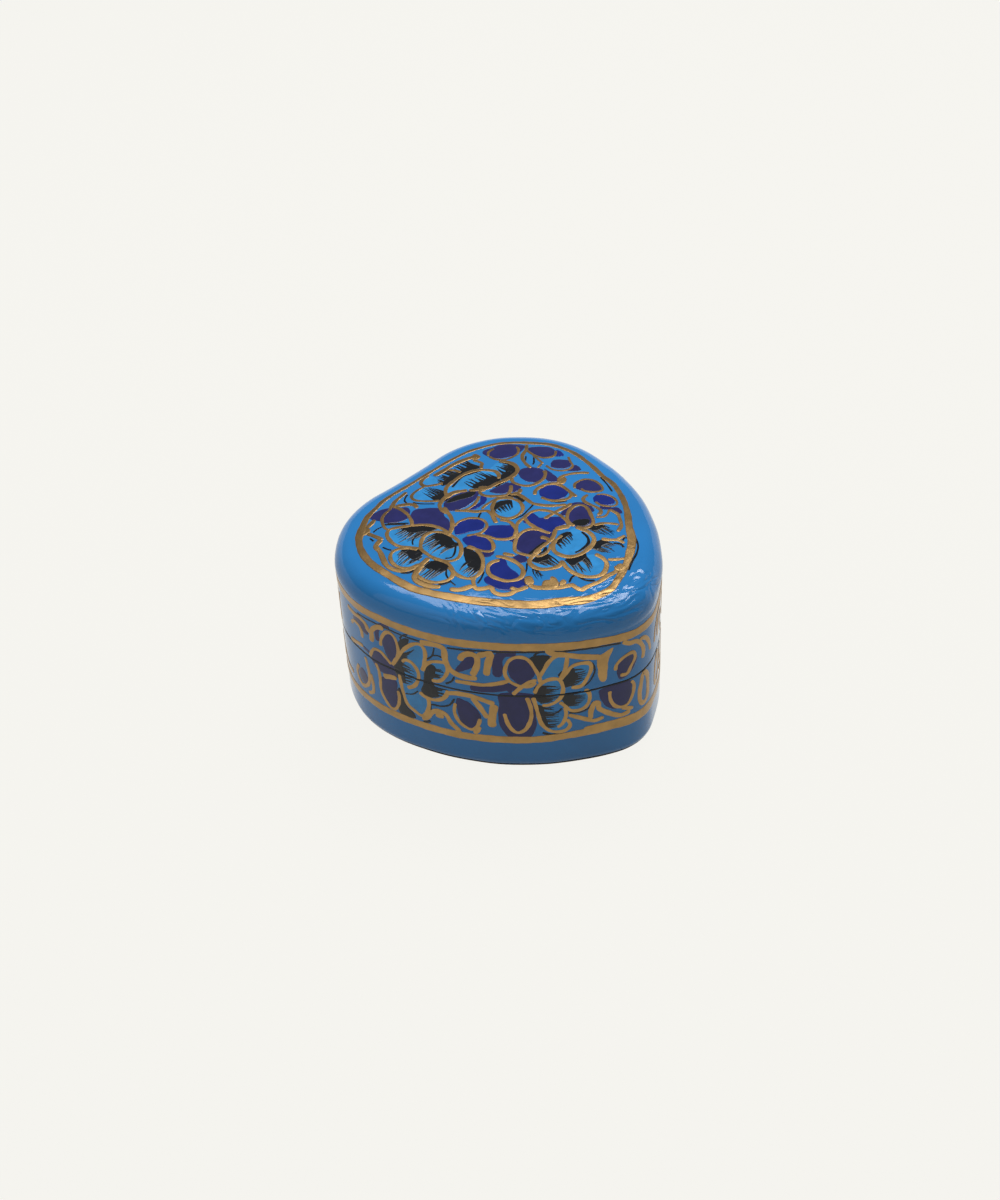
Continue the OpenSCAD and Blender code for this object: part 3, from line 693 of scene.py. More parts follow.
class BoxSizes(bpy.types.PropertyGroup):
    """Sizes of the box, which follow the solids"""

    lobe_radius: length_value("Lobe radius", "Radius of the two round lobes", 21.4)
    lobe_spacing: length_value("Lobe spacing", "Distance between the lobe centres", 17.2)
    hollow_radius: length_value("Hollow radius", "Radius of the flat hollow between the lobes", 350)
    tip_radius: length_value("Tip radius", "Radius of the blunt tip", 10.8)
    tip_reach: length_value("Tip reach", "From the line of the lobe centres to the tip's centre", 28.2)
    side_radius: length_value("Side radius", "Radius of the bulging sides", 44)
    height: length_value("Height", "Overall height at the middle", node_height("lid_top", 1))
    seam_height: length_value("Seam height", "Height of the seam", node_height("lid_wall", 0))
    collar_top: length_value("Collar top", "Height of the collar's edge", node_height("collar", 1))
    floor: length_value("Floor thickness", "Thickness of the floor board",
                        node_height("base_floor", 1))
    crown: length_value("Crown", "Rise of the top from its edge to its middle", 0.8)
    wall: length_value("Wall", "Thickness of the walls", 2.2)
    top_board: length_value("Top thickness", "Thickness of the top board", 2.6)
    collar_wall: length_value("Collar wall", "Thickness of the collar above the seam", 1.2)
    lid_play: length_value("Lid play", "Gap between collar and lid on each side", 0.3)
    shoulder: length_value("Shoulder radius", "Radius of the soft edge round the top", 3.8)
    bulge: length_value("Shoulder bulge", "How far that edge stands past the wall", 0.15)
    foot: length_value("Foot radius", "Radius of the edge round the bottom", 2.6)
    rim: length_value("Rim rounding", "Rounding of the two rims at the seam", 0.25)


class PaintColours(bpy.types.PropertyGroup):
    """Colours of the lacquer and of the paints"""

    azure: colour_value("Azure", "Blue ground of the lacquer", 43, 130, 199)
    gold: colour_value("Gold", "Gold paint of the lines", 158, 125, 77)
    navy: colour_value("Navy", "Dark blue of the leaves and buds", 40, 42, 100)
    pale: colour_value("Pale blue", "Wash inside the petals", 52, 146, 212)
    royal: colour_value("Royal blue", "Bright dark blue of the buds", 20, 40, 126)
    black: colour_value("Black", "Black of the shading, the inside and the underside", 21, 23, 27)
    floor: colour_value("Floor", "Pale ground that the box stands on", 248, 247, 242)


class Heart:
    """Outline of the box, measured round from the middle of the tip, and its surfaces"""

    # How far above and below the seam the walls follow its wandering
    SEAM_REACH = 8
    # Places round the crown's edge at which its distance from the middle is kept
    EDGE_STEPS = 720

    def __init__(self, sizes):
        for name in sizes.__annotations__:
            setattr(self, name, getattr(sizes, name) / MM)
        lobe_x = self.lobe_spacing / 2
        self.shift = (self.tip_reach + self.tip_radius - self.lobe_radius) / 2
        lobe = Vector((lobe_x, 0))
        tip = Vector((0, -self.tip_reach))
        gap = (tip - lobe).length
        to_lobe = self.side_radius - self.lobe_radius
        to_tip = self.side_radius - self.tip_radius
        along = (gap**2 + to_lobe**2 - to_tip**2) / (2 * gap)
        across = math.sqrt(to_lobe**2 - along**2)
        toward = (tip - lobe) / gap
        side = lobe + along * toward + across * Vector((toward.y, -toward.x))
        hollow = Vector((0, math.sqrt((self.lobe_radius + self.hollow_radius)**2 - lobe_x**2)))
        tip_end = self.heading(side, tip)
        side_end = self.heading(side, lobe)
        lobe_end = self.heading(lobe, hollow)
        # One half of the outline: centre, radius, first and last angle, and 1 where it bulges out
        self.arcs = [
            (tip, self.tip_radius, -math.pi / 2, tip_end, 1),
            (side, self.side_radius, tip_end, side_end, 1),
            (lobe, self.lobe_radius, side_end, lobe_end, 1),
            (hollow, self.hollow_radius, lobe_end - math.pi, -math.pi / 2, -1)]
        self.half_length = sum(radius * abs(last - first)
                               for centre, radius, first, last, facing in self.arcs)
        self.edge_height = self.height - self.crown
        self.shoulder_middle = self.edge_height - self.shoulder
        self.bulge_angle = math.acos(1 - self.bulge / self.shoulder)
        self.lid_joint = self.shoulder_middle - self.shoulder * math.sin(self.bulge_angle)
        self.under_height = self.edge_height - self.top_board
        self.under_radius = min(self.shoulder - self.bulge - self.wall,
                                self.under_height - self.lid_joint)
        self.crown_slope = math.atan(TOP_POWER * self.crown / self.lobe_radius)
        self.foot_joint = math.asin(1 - self.floor / self.foot)
        self.crown_inset = self.shoulder - self.bulge - self.shoulder * math.sin(self.crown_slope)
        self.crown_foot = self.shoulder_middle + self.shoulder * math.cos(self.crown_slope)
        self.edge_table = []

    @staticmethod
    def heading(start, end):
        """Angle of the way from one point to another"""
        return math.atan2(end.y - start.y, end.x - start.x)

    def at(self, distance):
        """Point of the outline at a distance round from the tip, and the way that it faces"""
        full = 2 * self.half_length
        distance = (distance + self.half_length) % full - self.half_length
        side = -1 if distance < 0 else 1
        left = abs(distance)
        for centre, radius, first, last, facing in self.arcs:
            length = radius * abs(last - first)
            if left <= length:
                break
            left -= length
        else:
            left = length
        angle = first + (last - first) * left / length
        ray = Vector((math.cos(angle), math.sin(angle)))
        point = centre + radius * ray
        return (Vector((side * point.x, point.y + self.shift)),
                Vector((side * facing * ray.x, facing * ray.y)))

    def seam_drift(self, distance):
        """How far the hand-cut seam wanders up or down on its way round"""
        turn = math.pi / self.half_length
        return (-0.38 * math.cos(2 * turn * (distance + 13))
                + 0.05 * math.sin(9 * turn * distance + 1)
                + 0.03 * math.sin(23 * turn * distance))

    def seam_lift(self, distance, height):
        """How far a place on a wall moves with the seam"""
        near_seam = max(0.0, 1 - abs(height - self.seam_height) / self.SEAM_REACH)
        return self.seam_drift(distance) * near_seam

    def hand_wave(self, distance, height):
        """How far a wall that was shaped by hand stands out from its true outline"""
        turn = math.pi / self.half_length
        return (0.10 * math.sin(3 * turn * distance + 0.8 + 0.05 * height)
                + 0.06 * math.sin(8 * turn * distance + 2.1 - 0.11 * height)
                + 0.03 * math.sin(19 * turn * distance + 0.16 * height))

    @staticmethod
    def dent(x, y):
        """How far the top board stands above its true crown"""
        return (0.06 * math.sin(0.21 * x + 0.13 * y + 0.5) + 0.05 * math.sin(0.34 * y - 0.11 * x)
                + 0.025 * math.sin(0.62 * x + 0.31 * y + 2) * math.cos(0.55 * y - 0.2 * x))

    def skin_point(self, distance, inset, height, tilt):
        """Point of a surface at an inset from the outline. Its tilt is the angle at which it faces
        up, and a surface without one is inside the box, where nothing shows the hand's wave"""
        point, out = self.at(distance)
        lift = self.seam_lift(distance, height)
        if tilt is not None:
            inset -= self.hand_wave(distance, height) * max(0.0, math.cos(tilt))
            lift += self.dent(*point) * max(0.0, math.sin(tilt))
        point = point - inset * out
        return Vector((point.x, point.y, height + lift))

    def flat_height(self, distance, height):
        """Height on the flat layout of a mark that is at a height on the box"""
        return height - self.seam_lift(distance, height)

    def wall_point(self, distance, height, lift):
        """Point of the painted walls, lifted off them"""
        inset = 0.0
        if height > self.lid_joint:
            rise = min(height - self.shoulder_middle, self.shoulder)
            inset = self.shoulder - self.bulge - math.sqrt(self.shoulder**2 - rise**2)
        return self.skin_point(distance, inset - lift, height, 0)

    def make_edge_table(self):
        """Distance from the middle to the crown's edge, for each way that it can lie"""
        table = []
        for step in range(self.EDGE_STEPS):
            point, out = self.at(2 * self.half_length * step / self.EDGE_STEPS)
            point = point - self.crown_inset * out
            table.append((math.atan2(point.y, point.x), point.length))
        return sorted(table)

    def edge_distance(self, x, y):
        """Distance from the middle to the crown's edge on the way to a point"""
        if not self.edge_table:
            self.edge_table = self.make_edge_table()
        angle = math.atan2(y, x)
        place = bisect.bisect(self.edge_table, (angle, 0.0))
        first = self.edge_table[place - 1]
        second = self.edge_table[place % len(self.edge_table)]
        span = (second[0] - first[0]) % math.tau
        share = ((angle - first[0]) % math.tau) / max(span, 1e-9)
        return first[1] + (second[1] - first[1]) * share

    def top_point(self, x, y, lift):
        """Point of the top, lifted off it"""
        edge = self.edge_distance(x, y)
        share = math.hypot(x, y) / edge
        if share <= 1:
            height = self.crown_foot + self.crown * (1 - share**TOP_POWER)
        else:
            out = self.shoulder * math.sin(self.crown_slope) + (share - 1) * edge
            height = self.shoulder_middle + math.sqrt(max(self.shoulder**2 - out**2, 0.0))
        return Vector((x, y, height + self.dent(x, y) + lift))

    def crown_point(self, distance, share, inset, height, power):
        """Point of a crowned board, a share of the way from its middle to its edge"""
        point, out = self.at(distance)
        point = share * (point - inset * out)
        return Vector((point.x, point.y, height + self.crown * (1 - share**power)))

    def flat_point(self, distance, share, height):
        """Point of the flat floor board, a share of the way from its middle to its edge"""
        point, out = self.at(distance)
        point = share * (point - self.foot * out)
        return Vector((point.x, point.y, height))


def finish_piece(bm, name, body, materials):
    """Makes an object of a mesh, with its edges smooth where they turn gently"""
    for face in bm.faces:
        face.smooth = True
    for edge in bm.edges:
        edge.smooth = edge.calc_face_angle(0) < SHARP_EDGE
    mesh = bpy.data.meshes.new(name)
    bm.to_mesh(mesh)
    bm.free()
    for material in materials:
        mesh.materials.append(material)
    piece = bpy.data.objects.new(name, mesh)
    bpy.context.scene.collection.objects.link(piece)
    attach(piece, body)
    return piece


def shell_materials(black="Black inside"):
    """Materials of a shell, in the order of its slots"""
    return [bpy.data.materials["Blue lacquer"], bpy.data.materials[black]]


def loft(heart, rings, slots=None):
    """Closed surface through rings, each a function of the distance round. A band of faces takes
    the material slot of the ring that it starts at"""
    bm = bmesh.new()
    bands = len(rings) - 1
    bmesh.ops.create_grid(bm, x_segments=FACES_ROUND, y_segments=bands, size=0.5)
    if slots:
        for face in bm.faces:
            face.material_index = slots[int((face.calc_center_median().y + 0.5) * bands)]
    for vertex in bm.verts:
        distance = 2 * vertex.co.x * heart.half_length
        ring = rings[round((vertex.co.y + 0.5) * bands)]
        vertex.co = ring(distance) * MM
    bmesh.ops.remove_doubles(bm, verts=bm.verts, dist=0.001 * MM)
    bmesh.ops.recalc_face_normals(bm, faces=bm.faces)
    return bm


def level_ring(heart, inset, height, tilt=None):
    """Ring at one inset and height"""
    return lambda distance: heart.skin_point(distance, inset, height, tilt)


def round_rings(heart, inset, height, radius, start, end, steps, outside=True):
    """Rings along a round, from one angle above the horizontal to another"""
    rings = []
    for step in range(steps + 1):
        angle = start + (end - start) * step / steps
        rings.append(level_ring(heart, inset - radius * math.cos(angle),
                                height + radius * math.sin(angle), angle if outside else None))
    return rings


def level_rings(heart, inset, start, end, steps, tilt=None):
    """Rings up or down a wall"""
    return [level_ring(heart, inset, start + (end - start) * step / steps, tilt)
            for step in range(steps + 1)]


def underside_ring(heart, share, inset):
    """Ring of the top board's underside, a share of the way out"""
    return lambda distance: heart.crown_point(
        distance, share, inset, heart.under_height, UNDERSIDE_POWER)


def top_ring(heart, share):
    """Ring of the top, a share of the way out, whose dents turn into the shoulder's at its edge"""
    near_edge = max(0.0, (share - 0.9) / 0.1)

    def place(distance):
        point = heart.crown_point(
            distance, share, heart.crown_inset, heart.crown_foot, TOP_POWER)
        own = heart.dent(point.x, point.y)
        shoulder = heart.dent(*heart.at(distance)[0]) * math.cos(heart.crown_slope)
        point.z += own + (shoulder - own) * near_edge
        return point

    return place


class Value:
    """A shader's number, on which sums can be written as Python sums"""

    def __init__(self, build, socket):
        self.build = build
        self.socket = socket

    def __add__(self, other):
        return self.build.math("ADD", self, other)

    def __radd__(self, other):
        return self.build.math("ADD", other, self)

    def __sub__(self, other):
        return self.build.math("SUBTRACT", self, other)

    def __rsub__(self, other):
        return self.build.math("SUBTRACT", other, self)

    def __mul__(self, other):
        return self.build.math("MULTIPLY", self, other)

    def __rmul__(self, other):
        return self.build.math("MULTIPLY", other, self)

    def __pow__(self, other):
        return self.build.math("POWER", self, other)


class MaterialBuild:
    """A material's nodes, added one call at a time"""

    MIX_FIRST, MIX_SECOND, MIX_RESULT = 6, 7, 2

    def __init__(self, name):
        self.material = bpy.data.materials.new(name)
        self.material.use_nodes = True
        self.tree = self.material.node_tree
        self.tree.nodes.clear()

    def node(self, kind, settings=None, values=None, output=0):
        """Adds a node, its settings first and then what its sockets hold or take"""
        made = self.tree.nodes.new(kind)
        for key, value in (settings or {}).items():
            if key == "stops":
                self.set_stops(made.color_ramp, value)
            else:
                setattr(made, key, value)
        for key, value in (values or {}).items():
            socket = made.inputs[key]
            if isinstance(value, Value):
                self.tree.links.new(value.socket, socket)
            else:
                socket.default_value = value
        return Value(self, made.outputs[output]) if made.outputs else None

    @staticmethod
    def set_stops(ramp, stops):
        """Places and shades of a ramp"""
        while len(ramp.elements) < len(stops):
            ramp.elements.new(0.5)
        for element, (place, shade) in zip(ramp.elements, stops):
            element.position = place
            element.color = (shade, shade, shade, 1)

    def math(self, operation, *values):
        """Sum of one or two numbers"""
        return self.node("ShaderNodeMath", {"operation": operation}, dict(enumerate(values)))

    def place(self):
        """Place on the object, which stays put as it moves"""
        return self.node("ShaderNodeTexCoord", output="Object")

    def parts(self, where):
        """How far a place lies across, how deep and how high"""
        across = self.node("ShaderNodeSeparateXYZ", {}, {"Vector": where})
        return [Value(self, socket) for socket in across.socket.node.outputs]

    def noise(self, where, scale, detail=2.0, roughness=0.5, distortion=0.0):
        """Soft cloudy pattern, with its size given in millimetres"""
        return self.node(
            "ShaderNodeTexNoise", {"normalize": True},
            {"Vector": where, "Scale": 1 / (scale * MM), "Detail": detail,
             "Roughness": roughness, "Distortion": distortion})

    def ramp(self, value, *stops):
        """Shade of grey for each value"""
        return self.node("ShaderNodeValToRGB", {"stops": stops}, {"Fac": value})

    def blend(self, factor, first, second):
        """Mix of two colours, for which the node has sockets of its own"""
        def opaque(colour):
            return colour if isinstance(colour, Value) else (*colour, 1)

        return self.node(
            "ShaderNodeMix", {"data_type": "RGBA"},
            {"Factor": factor, self.MIX_FIRST: opaque(first), self.MIX_SECOND: opaque(second)},
            output=self.MIX_RESULT)

    def fade(self, value, start, end):
        """From 0 at one value to 1 at another"""
        return self.node("ShaderNodeMapRange", {},
                         {"Value": value, "From Min": start, "From Max": end})

    def bump(self, height):
        """Relief, with its height given in millimetres"""
        return self.node("ShaderNodeBump", {}, {"Height": height, "Distance": MM})

    def finish(self, shader):
        """Puts a shader on the surface, as the end of the material"""
        self.node("ShaderNodeOutputMaterial", {}, {"Surface": shader})
        return self.material


def scaled(colour, factor):
    """A colour made darker or lighter"""
    return tuple(min(1.0, channel * factor) for channel in colour)


# Gloss of the varnish over the lacquer and the paints, and its waves and folds in millimetres
VARNISH_IOR = 1.36
WAVE_WIDTH = 6
WAVE_DEPTH = 0.05
FOLD_WIDTH = 3
FOLD_DEPTH = 0.35
# Where the folds turn round, and how far they are drawn out on that way
FOLD_CENTRE_DEPTH = -8
FOLD_LENGTH = 9


def varnish_relief(build, where):
    """Soft waves of the varnish, which lies in folds along the front of the shoulder"""
    waves = build.noise(where, WAVE_WIDTH, 1)
    across, depth, height = build.parts(where)
    forward = depth - FOLD_CENTRE_DEPTH * MM
    turn = build.math("ARCTAN2", forward, across)
    out = (across * across + forward * forward) ** 0.5
    flow = build.node("ShaderNodeCombineXYZ", {},
                      {"X": turn * (FOLD_LENGTH * MM), "Y": out, "Z": height})
    folds = build.math("ABSOLUTE", build.noise(flow, FOLD_WIDTH, 1, 0.5, 1.2) * 2.0 - 1.0)
    top = bpy.context.scene.box_sizes.height
    zone = build.fade(height, top - 0.35 * MM, top - 0.7 * MM)
    zone *= build.fade(height, top - 4.5 * MM, top - 3.5 * MM)
    zone *= build.fade(depth, -2 * MM, -12 * MM)
    zone *= build.fade(across, 12 * MM, 7 * MM)
    return build.bump(waves * WAVE_DEPTH + folds * zone * FOLD_DEPTH)


def lacquer_material(name, colour):
    """Glossy brushed lacquer with faint clouds of colour and small smudges"""
    build = MaterialBuild(name)
    where = build.place()
    clouds = build.noise(where, 14, 3)
    ground = build.blend(build.ramp(clouds, (0.3, 0), (0.7, 1)),
                         scaled(colour, 0.93), scaled(colour, 1.05))
    smudge = build.ramp(build.noise(where, 5.5, 4, 0.6), (0.70, 0), (0.78, 1))
    ground = build.blend(smudge * 0.35, ground, scaled(colour, 0.45))
    roughness = 0.05 + 0.07 * build.ramp(clouds, (0.35, 0), (0.75, 1))
    return build.finish(build.node("ShaderNodeBsdfPrincipled", {}, {
        "Base Color": ground, "Roughness": roughness, "IOR": VARNISH_IOR,
        "Normal": varnish_relief(build, where)}))


def black_material(name, colour, roughness, ior):
    """Black paint, brushed on"""
    build = MaterialBuild(name)
    streaks = build.noise(build.place(), 1.2, 3, 0.6)
    ground = build.blend(streaks, scaled(colour, 0.6), scaled(colour, 1.5))
    return build.finish(build.node("ShaderNodeBsdfPrincipled", {}, {
        "Base Color": ground, "Roughness": roughness + 0.2 * streaks, "IOR": ior,
        "Normal": build.bump(streaks * 0.05)}))


def paint_material(name, colour, metallic=0.0, roughness=0.08, painted_top_shade=1.0):
    """Brushed paint under varnish, a little thinner in places, and darker on the top as painted shade
    that stands in for the dull reflection there
    """
    build = MaterialBuild(name)
    where = build.place()
    clouds = build.noise(where, 2.2, 3, 0.6)
    brushed = build.ramp(clouds, (0.3, 0), (0.7, 1))
    tone = build.blend(brushed, scaled(colour, 0.86), scaled(colour, 1.12))
    # Painted shade: the tone on the top is darker, standing in for the dull reflection that the top
    # shows
    if painted_top_shade < 1:
        shaded_tone = build.blend(brushed, scaled(colour, 0.86 * painted_top_shade), scaled(colour, 1.12 * painted_top_shade))
        across, depth, height = build.parts(where)
        top = bpy.context.scene.box_sizes.height
        tone = build.blend(build.fade(height, top - 3.5 * MM, top - 2.5 * MM), tone, shaded_tone)
    return build.finish(build.node("ShaderNodeBsdfPrincipled", {}, {
        "Base Color": tone, "Metallic": metallic, "Roughness": roughness + 0.08 * clouds,
        "IOR": VARNISH_IOR, "Normal": varnish_relief(build, where)}))


# The floor's own colour where it is lit, and how much of it gives way to a plain pale ground
FLOOR_COLOUR = (0.55, 0.52, 0.47, 1)
FLOOR_GLOW = 0.95


def floor_material(name, colour):
    """A ground that looks plain and pale, and that keeps the box's shadow"""
    build = MaterialBuild(name)
    # Seen from the camera, or from it by way of a gloss or of glass
    camera, glossy, transmission = (
        build.node("ShaderNodeLightPath", output=ray)
        for ray in ("Is Camera Ray", "Is Glossy Ray", "Is Transmission Ray"))
    seen = build.math("MAXIMUM", build.math("MAXIMUM", camera, glossy), transmission)
    glow = build.node("ShaderNodeEmission", {}, {"Color": (*colour, 1), "Strength": 1.0})
    matt = build.node("ShaderNodeBsdfDiffuse", {}, {"Color": FLOOR_COLOUR})
    return build.finish(build.node("ShaderNodeMixShader", {},
                                   {0: seen * FLOOR_GLOW, 1: matt, 2: glow}))


def smooth_path(points, closed, fineness=8):
    """Fine points of the smooth curve through a few points, with the width at each"""
    last = len(points) - 1
    dense = []
    for start in range(last):
        if closed:
            four = [points[(start + step) % last] for step in (-1, 0, 1, 2)]
        else:
            four = [points[min(max(start + step, 0), last)] for step in (-1, 0, 1, 2)]
        p0, p1, p2, p3 = (Vector(point) for point in four)
        for step in range(fineness):
            t = step / fineness
            dense.append(0.5 * (2 * p1 + (p2 - p0) * t + (2 * p0 - 5 * p1 + 4 * p2 - p3) * t**2
                                + (3 * p1 - p0 - 3 * p2 + p3) * t**3))
    dense.append(Vector(points[-1]))
    return dense


class Path:
    """A smooth curve that can be asked for the point at a length along it"""

    def __init__(self, points, width=0.0):
        points = [(*point[:2], point[2] if len(point) > 2 else width) for point in points]
        self.closed = len(points) > 3 and math.dist(points[0][:2], points[-1][:2]) < 0.01
        self.points = smooth_path(points, self.closed)
        self.lengths = [0.0]
        for first, second in zip(self.points, self.points[1:]):
            self.lengths.append(self.lengths[-1] + (second.xy - first.xy).length)
        self.length = self.lengths[-1]

    def at(self, length):
        """Point and width at a length along the curve"""
        place = bisect.bisect(self.lengths, length) - 1
        place = min(max(place, 0), len(self.lengths) - 2)
        span = max(self.lengths[place + 1] - self.lengths[place], 1e-9)
        share = min(max((length - self.lengths[place]) / span, 0.0), 1.0)
        return self.points[place].lerp(self.points[place + 1], share)


class Layer:
    """One colour of paint laid out flat, with x and y along the surface and z off it"""

    # How far the underside of the paint lies below the surface
    SINK = 0.08
    # Across a line of paint: share of its half width, and share of its rise or of what it sinks
    PROFILE = ((-0.9, -1), (-1, -0.1), (-0.96, 0.55), (-0.86, 0.93), (-0.7, 1), (0.7, 1),
               (0.86, 0.93), (0.96, 0.55), (1, -0.1), (0.9, -1))
    FINE_PROFILE = ((-0.8, -1), (-1, 0), (-0.6, 0.9), (0.6, 0.9), (1, 0), (0.8, -1))
    # Where the round end of a line gets its rings, as shares of its radius
    ROUND_END = (0, 0.06, 0.25, 0.55, 1)
    FINE_END = (0, 0.3, 1)
    # How far back and forth along a line its way is taken from
    REACH = 0.15
    # How far the root of feathers starts under the petal's line, as a share of their length
    UNDER = 0.22

    def __init__(self, seed):
        self.rise = 0.0
        self.fullness = 1.0
        self.random = random.Random(seed)
        self.bm = bmesh.new()
        self.part_mesh = bpy.data.meshes.new("paint_part")

    def add_part(self, part):
        """Takes a finished mark into the layer"""
        bmesh.ops.remove_doubles(part, verts=part.verts, dist=0.0005)
        part.to_mesh(self.part_mesh)
        part.free()
        self.bm.from_mesh(self.part_mesh)

    def finish(self):
        """Gives the layer's mesh and clears away what it was made with"""
        bpy.data.meshes.remove(self.part_mesh)
        return self.bm

    def phases(self, count):
        """Where some waves start"""
        return [self.random.uniform(0, 6.3) for _ in range(count)]

    def line(self, width, points, spacing=0.32, pointed=False):
        """A line of paint with round ends, or with a point at its far end"""
        path = Path(points, width)
        rise = self.rise * self.random.uniform(0.9, 1.1)
        phase = self.phases(3)
        profile = self.FINE_PROFILE if pointed else self.PROFILE
        ends = self.FINE_END if pointed else self.ROUND_END
        marks = []
        for along, swell in self.stations(path, width / 2, spacing, ends):
            here = path.at(along)
            before = path.at(max(along - self.REACH, 0.0))
            after = path.at(min(along + self.REACH, path.length))
            way = (after.xy - before.xy).normalized()
            waver = (0.10 * math.sin(1.1 * along + phase[0])
                     + 0.06 * math.sin(2.9 * along + phase[1])) * min(1.0, 0.7 / here.z)
            half = here.z * self.fullness / 2 * (1 + waver) * swell
            if pointed:
                half *= (1 - along / path.length) ** 0.6
            height = rise * (1 + 0.08 * math.sin(1.9 * along + phase[2])) * min(1.0, 0.35 + swell)
            if swell == 0:
                height = -self.SINK
            marks.append((here.xy, Vector((-way.y, way.x)) * half, height))
        if path.closed:
            marks[-1] = marks[0]
        last = len(marks) - 1
        around = len(profile)
        part = bmesh.new()
        bmesh.ops.create_grid(part, x_segments=last, y_segments=around, size=0.5)
        for vertex in part.verts:
            centre, across, height = marks[round((vertex.co.x + 0.5) * last)]
            share, level = profile[round((vertex.co.y + 0.5) * around) % around]
            place = centre + across * share
            if height > 0:
                height = level * (height if level > 0 else self.SINK)
            vertex.co = (place.x, place.y, height)
        self.add_part(part)

    @staticmethod
    def stations(path, radius, spacing, ends):
        """Lengths along a path where it gets a ring, with how full the brush is at each"""
        if path.closed:
            count = max(8, round(path.length / spacing))
            return [(path.length * step / count, 1) for step in range(count + 1)]
        radius = min(radius, path.length / 3)
        swells = [math.sqrt(1 - (1 - end) ** 2) for end in ends]
        middle = path.length - 2 * radius
        count = max(1, round(middle / spacing))
        made = [(radius * end, swell) for end, swell in zip(ends, swells)]
        made += [(radius + middle * step / count, 1) for step in range(1, count)]
        made += [(path.length - radius * end, swell)
                 for end, swell in reversed(list(zip(ends, swells)))]
        return made

    def patch(self, points, fullness=1.0):
        """A filled shape with a soft edge"""
        path = Path([*points, points[0]])
        count = max(20, round(path.length / 0.4))
        edge = [path.at(path.length * step / count).xy for step in range(count)]
        centre = sum(edge, Vector((0, 0))) / count
        edge = [centre + (point - centre) * fullness for point in edge]
        phase = self.phases(2)
        edge = [point + (point - centre).normalized()
                * (0.05 * math.sin(9 * math.tau * step / count + phase[0])
                   + 0.04 * math.sin(4 * math.tau * step / count + phase[1]))
                for step, point in enumerate(edge)]
        rise = self.rise
        # From the middle of the underside round the edge to the middle of the top
        rings = ((0, -self.SINK), (0.98, -self.SINK), (1, -0.1 * self.SINK), (0.97, 0.7 * rise),
                 (0.92, rise), (0.66, rise), (0.33, rise), (0, rise))
        last = len(rings) - 1
        part = bmesh.new()
        bmesh.ops.create_grid(part, x_segments=count, y_segments=last, size=0.5)
        for vertex in part.verts:
            point = edge[round((vertex.co.x + 0.5) * count) % count]
            share, height = rings[round((vertex.co.y + 0.5) * last)]
            place = centre + (point - centre) * share
            vertex.co = (place.x, place.y, height)
        self.add_part(part)

    def feathers(self, count, width, root, tips):
        """Strokes fanned out from a solid root, each drawn out to a point"""
        start = Path(root)
        finish = Path(tips)

        def reach(share):
            """Where a stroke starts, under the petal's line, and where it ends"""
            first = start.at(start.length * share).xy
            last = finish.at(finish.length * share).xy
            return first.lerp(last, -self.UNDER), last

        spread = [reach(share) for share in (0, 0.2, 0.4, 0.6, 0.8, 1)]
        fills = [self.random.uniform(0.52, 0.68) for _ in spread]
        self.patch([*(first for first, last in spread),
                    *(first.lerp(last, fill)
                      for (first, last), fill in reversed(list(zip(spread, fills))))])
        count = max(count, round(finish.length / (0.75 * width))) + 2
        for stroke in range(count):
            share = (stroke + self.random.uniform(-0.2, 0.2)) / (count - 1)
            first, last = reach(min(max(share, 0.0), 1.0))
            last = first.lerp(last, self.random.uniform(1.0, 1.45))
            way = last - first
            bend = Vector((-way.y, way.x)) * self.random.uniform(-0.1, 0.1)
            middle = first.lerp(last, 0.5) + bend
            self.line(width * self.random.uniform(1.0, 1.35), [first, middle, last],
                      spacing=0.9, pointed=True)


# The paint of each kind of mark, and how far it stands off the surface
PAINTS = {
    "petals": ("pale", 0.02), "navy_patches": ("navy", 0.028), "navy_lines": ("navy", 0.03),
    "royal_patches": ("royal", 0.038), "royal_lines": ("royal", 0.036),
    "black_patches": ("black", 0.042), "feathers": ("black", 0.045), "black_lines": ("black", 0.045),
    "gold_patches": ("gold", 0.062), "gold_lines": ("gold", 0.07),
}
PAINT_SLOTS = {
    "pale": "pale_blue_paint", "royal": "navy_paint", "navy": "navy_paint",
    "black": "black_paint", "gold": "gold_paint",
}
# How much wider the brush lays a patch of a colour, and a gold line, than it is written
PATCH_FULLNESS = {"navy": 1.12, "royal": 1.12, "black": 1.1}
TOP_GOLD_FULLNESS = 1.08
WALL_GOLD_FULLNESS = 1.22


def paint_motifs(motifs, move, gold_fullness):
    """Lays the marks of some motifs into one layer for each colour. Each point is moved first"""
    layers = {colour: Layer(colour) for colour in PAINT_SLOTS}
    layers["gold"].fullness = gold_fullness
    for motif, shift in motifs:
        for kind, marks in motif.items():
            colour, rise = PAINTS[kind]
            layer = layers[colour]
            layer.rise = rise
            for mark in marks:
                if kind == "feathers":
                    count, width, root, tips = mark
                    layer.feathers(count, width, move(root, shift), move(tips, shift))
                elif kind.endswith("patches"):
                    layer.patch(move(mark, shift), PATCH_FULLNESS.get(colour, 1.0))
                elif kind == "petals":
                    layer.patch(move(mark[1], shift))
                    layers["gold"].rise = PAINTS["gold_lines"][1]
                    layers["gold"].line(mark[0], move(mark[1], shift))
                else:
                    layer.line(mark[0], move(mark[1], shift))
    painted = {colour: layer.finish() for colour, layer in layers.items()}
    return {colour: bm for colour, bm in painted.items() if bm.faces}


def wrap_and_finish(bm, place, name, body, colour):
    """Wraps a flat layer on to its surface and makes it a piece"""
    for vertex in bm.verts:
        vertex.co = place(*vertex.co) * MM
    bmesh.ops.recalc_face_normals(bm, faces=bm.faces)
    material = bpy.data.materials[f"{colour.title()} paint"]
    return finish_piece(bm, name, body, [material])


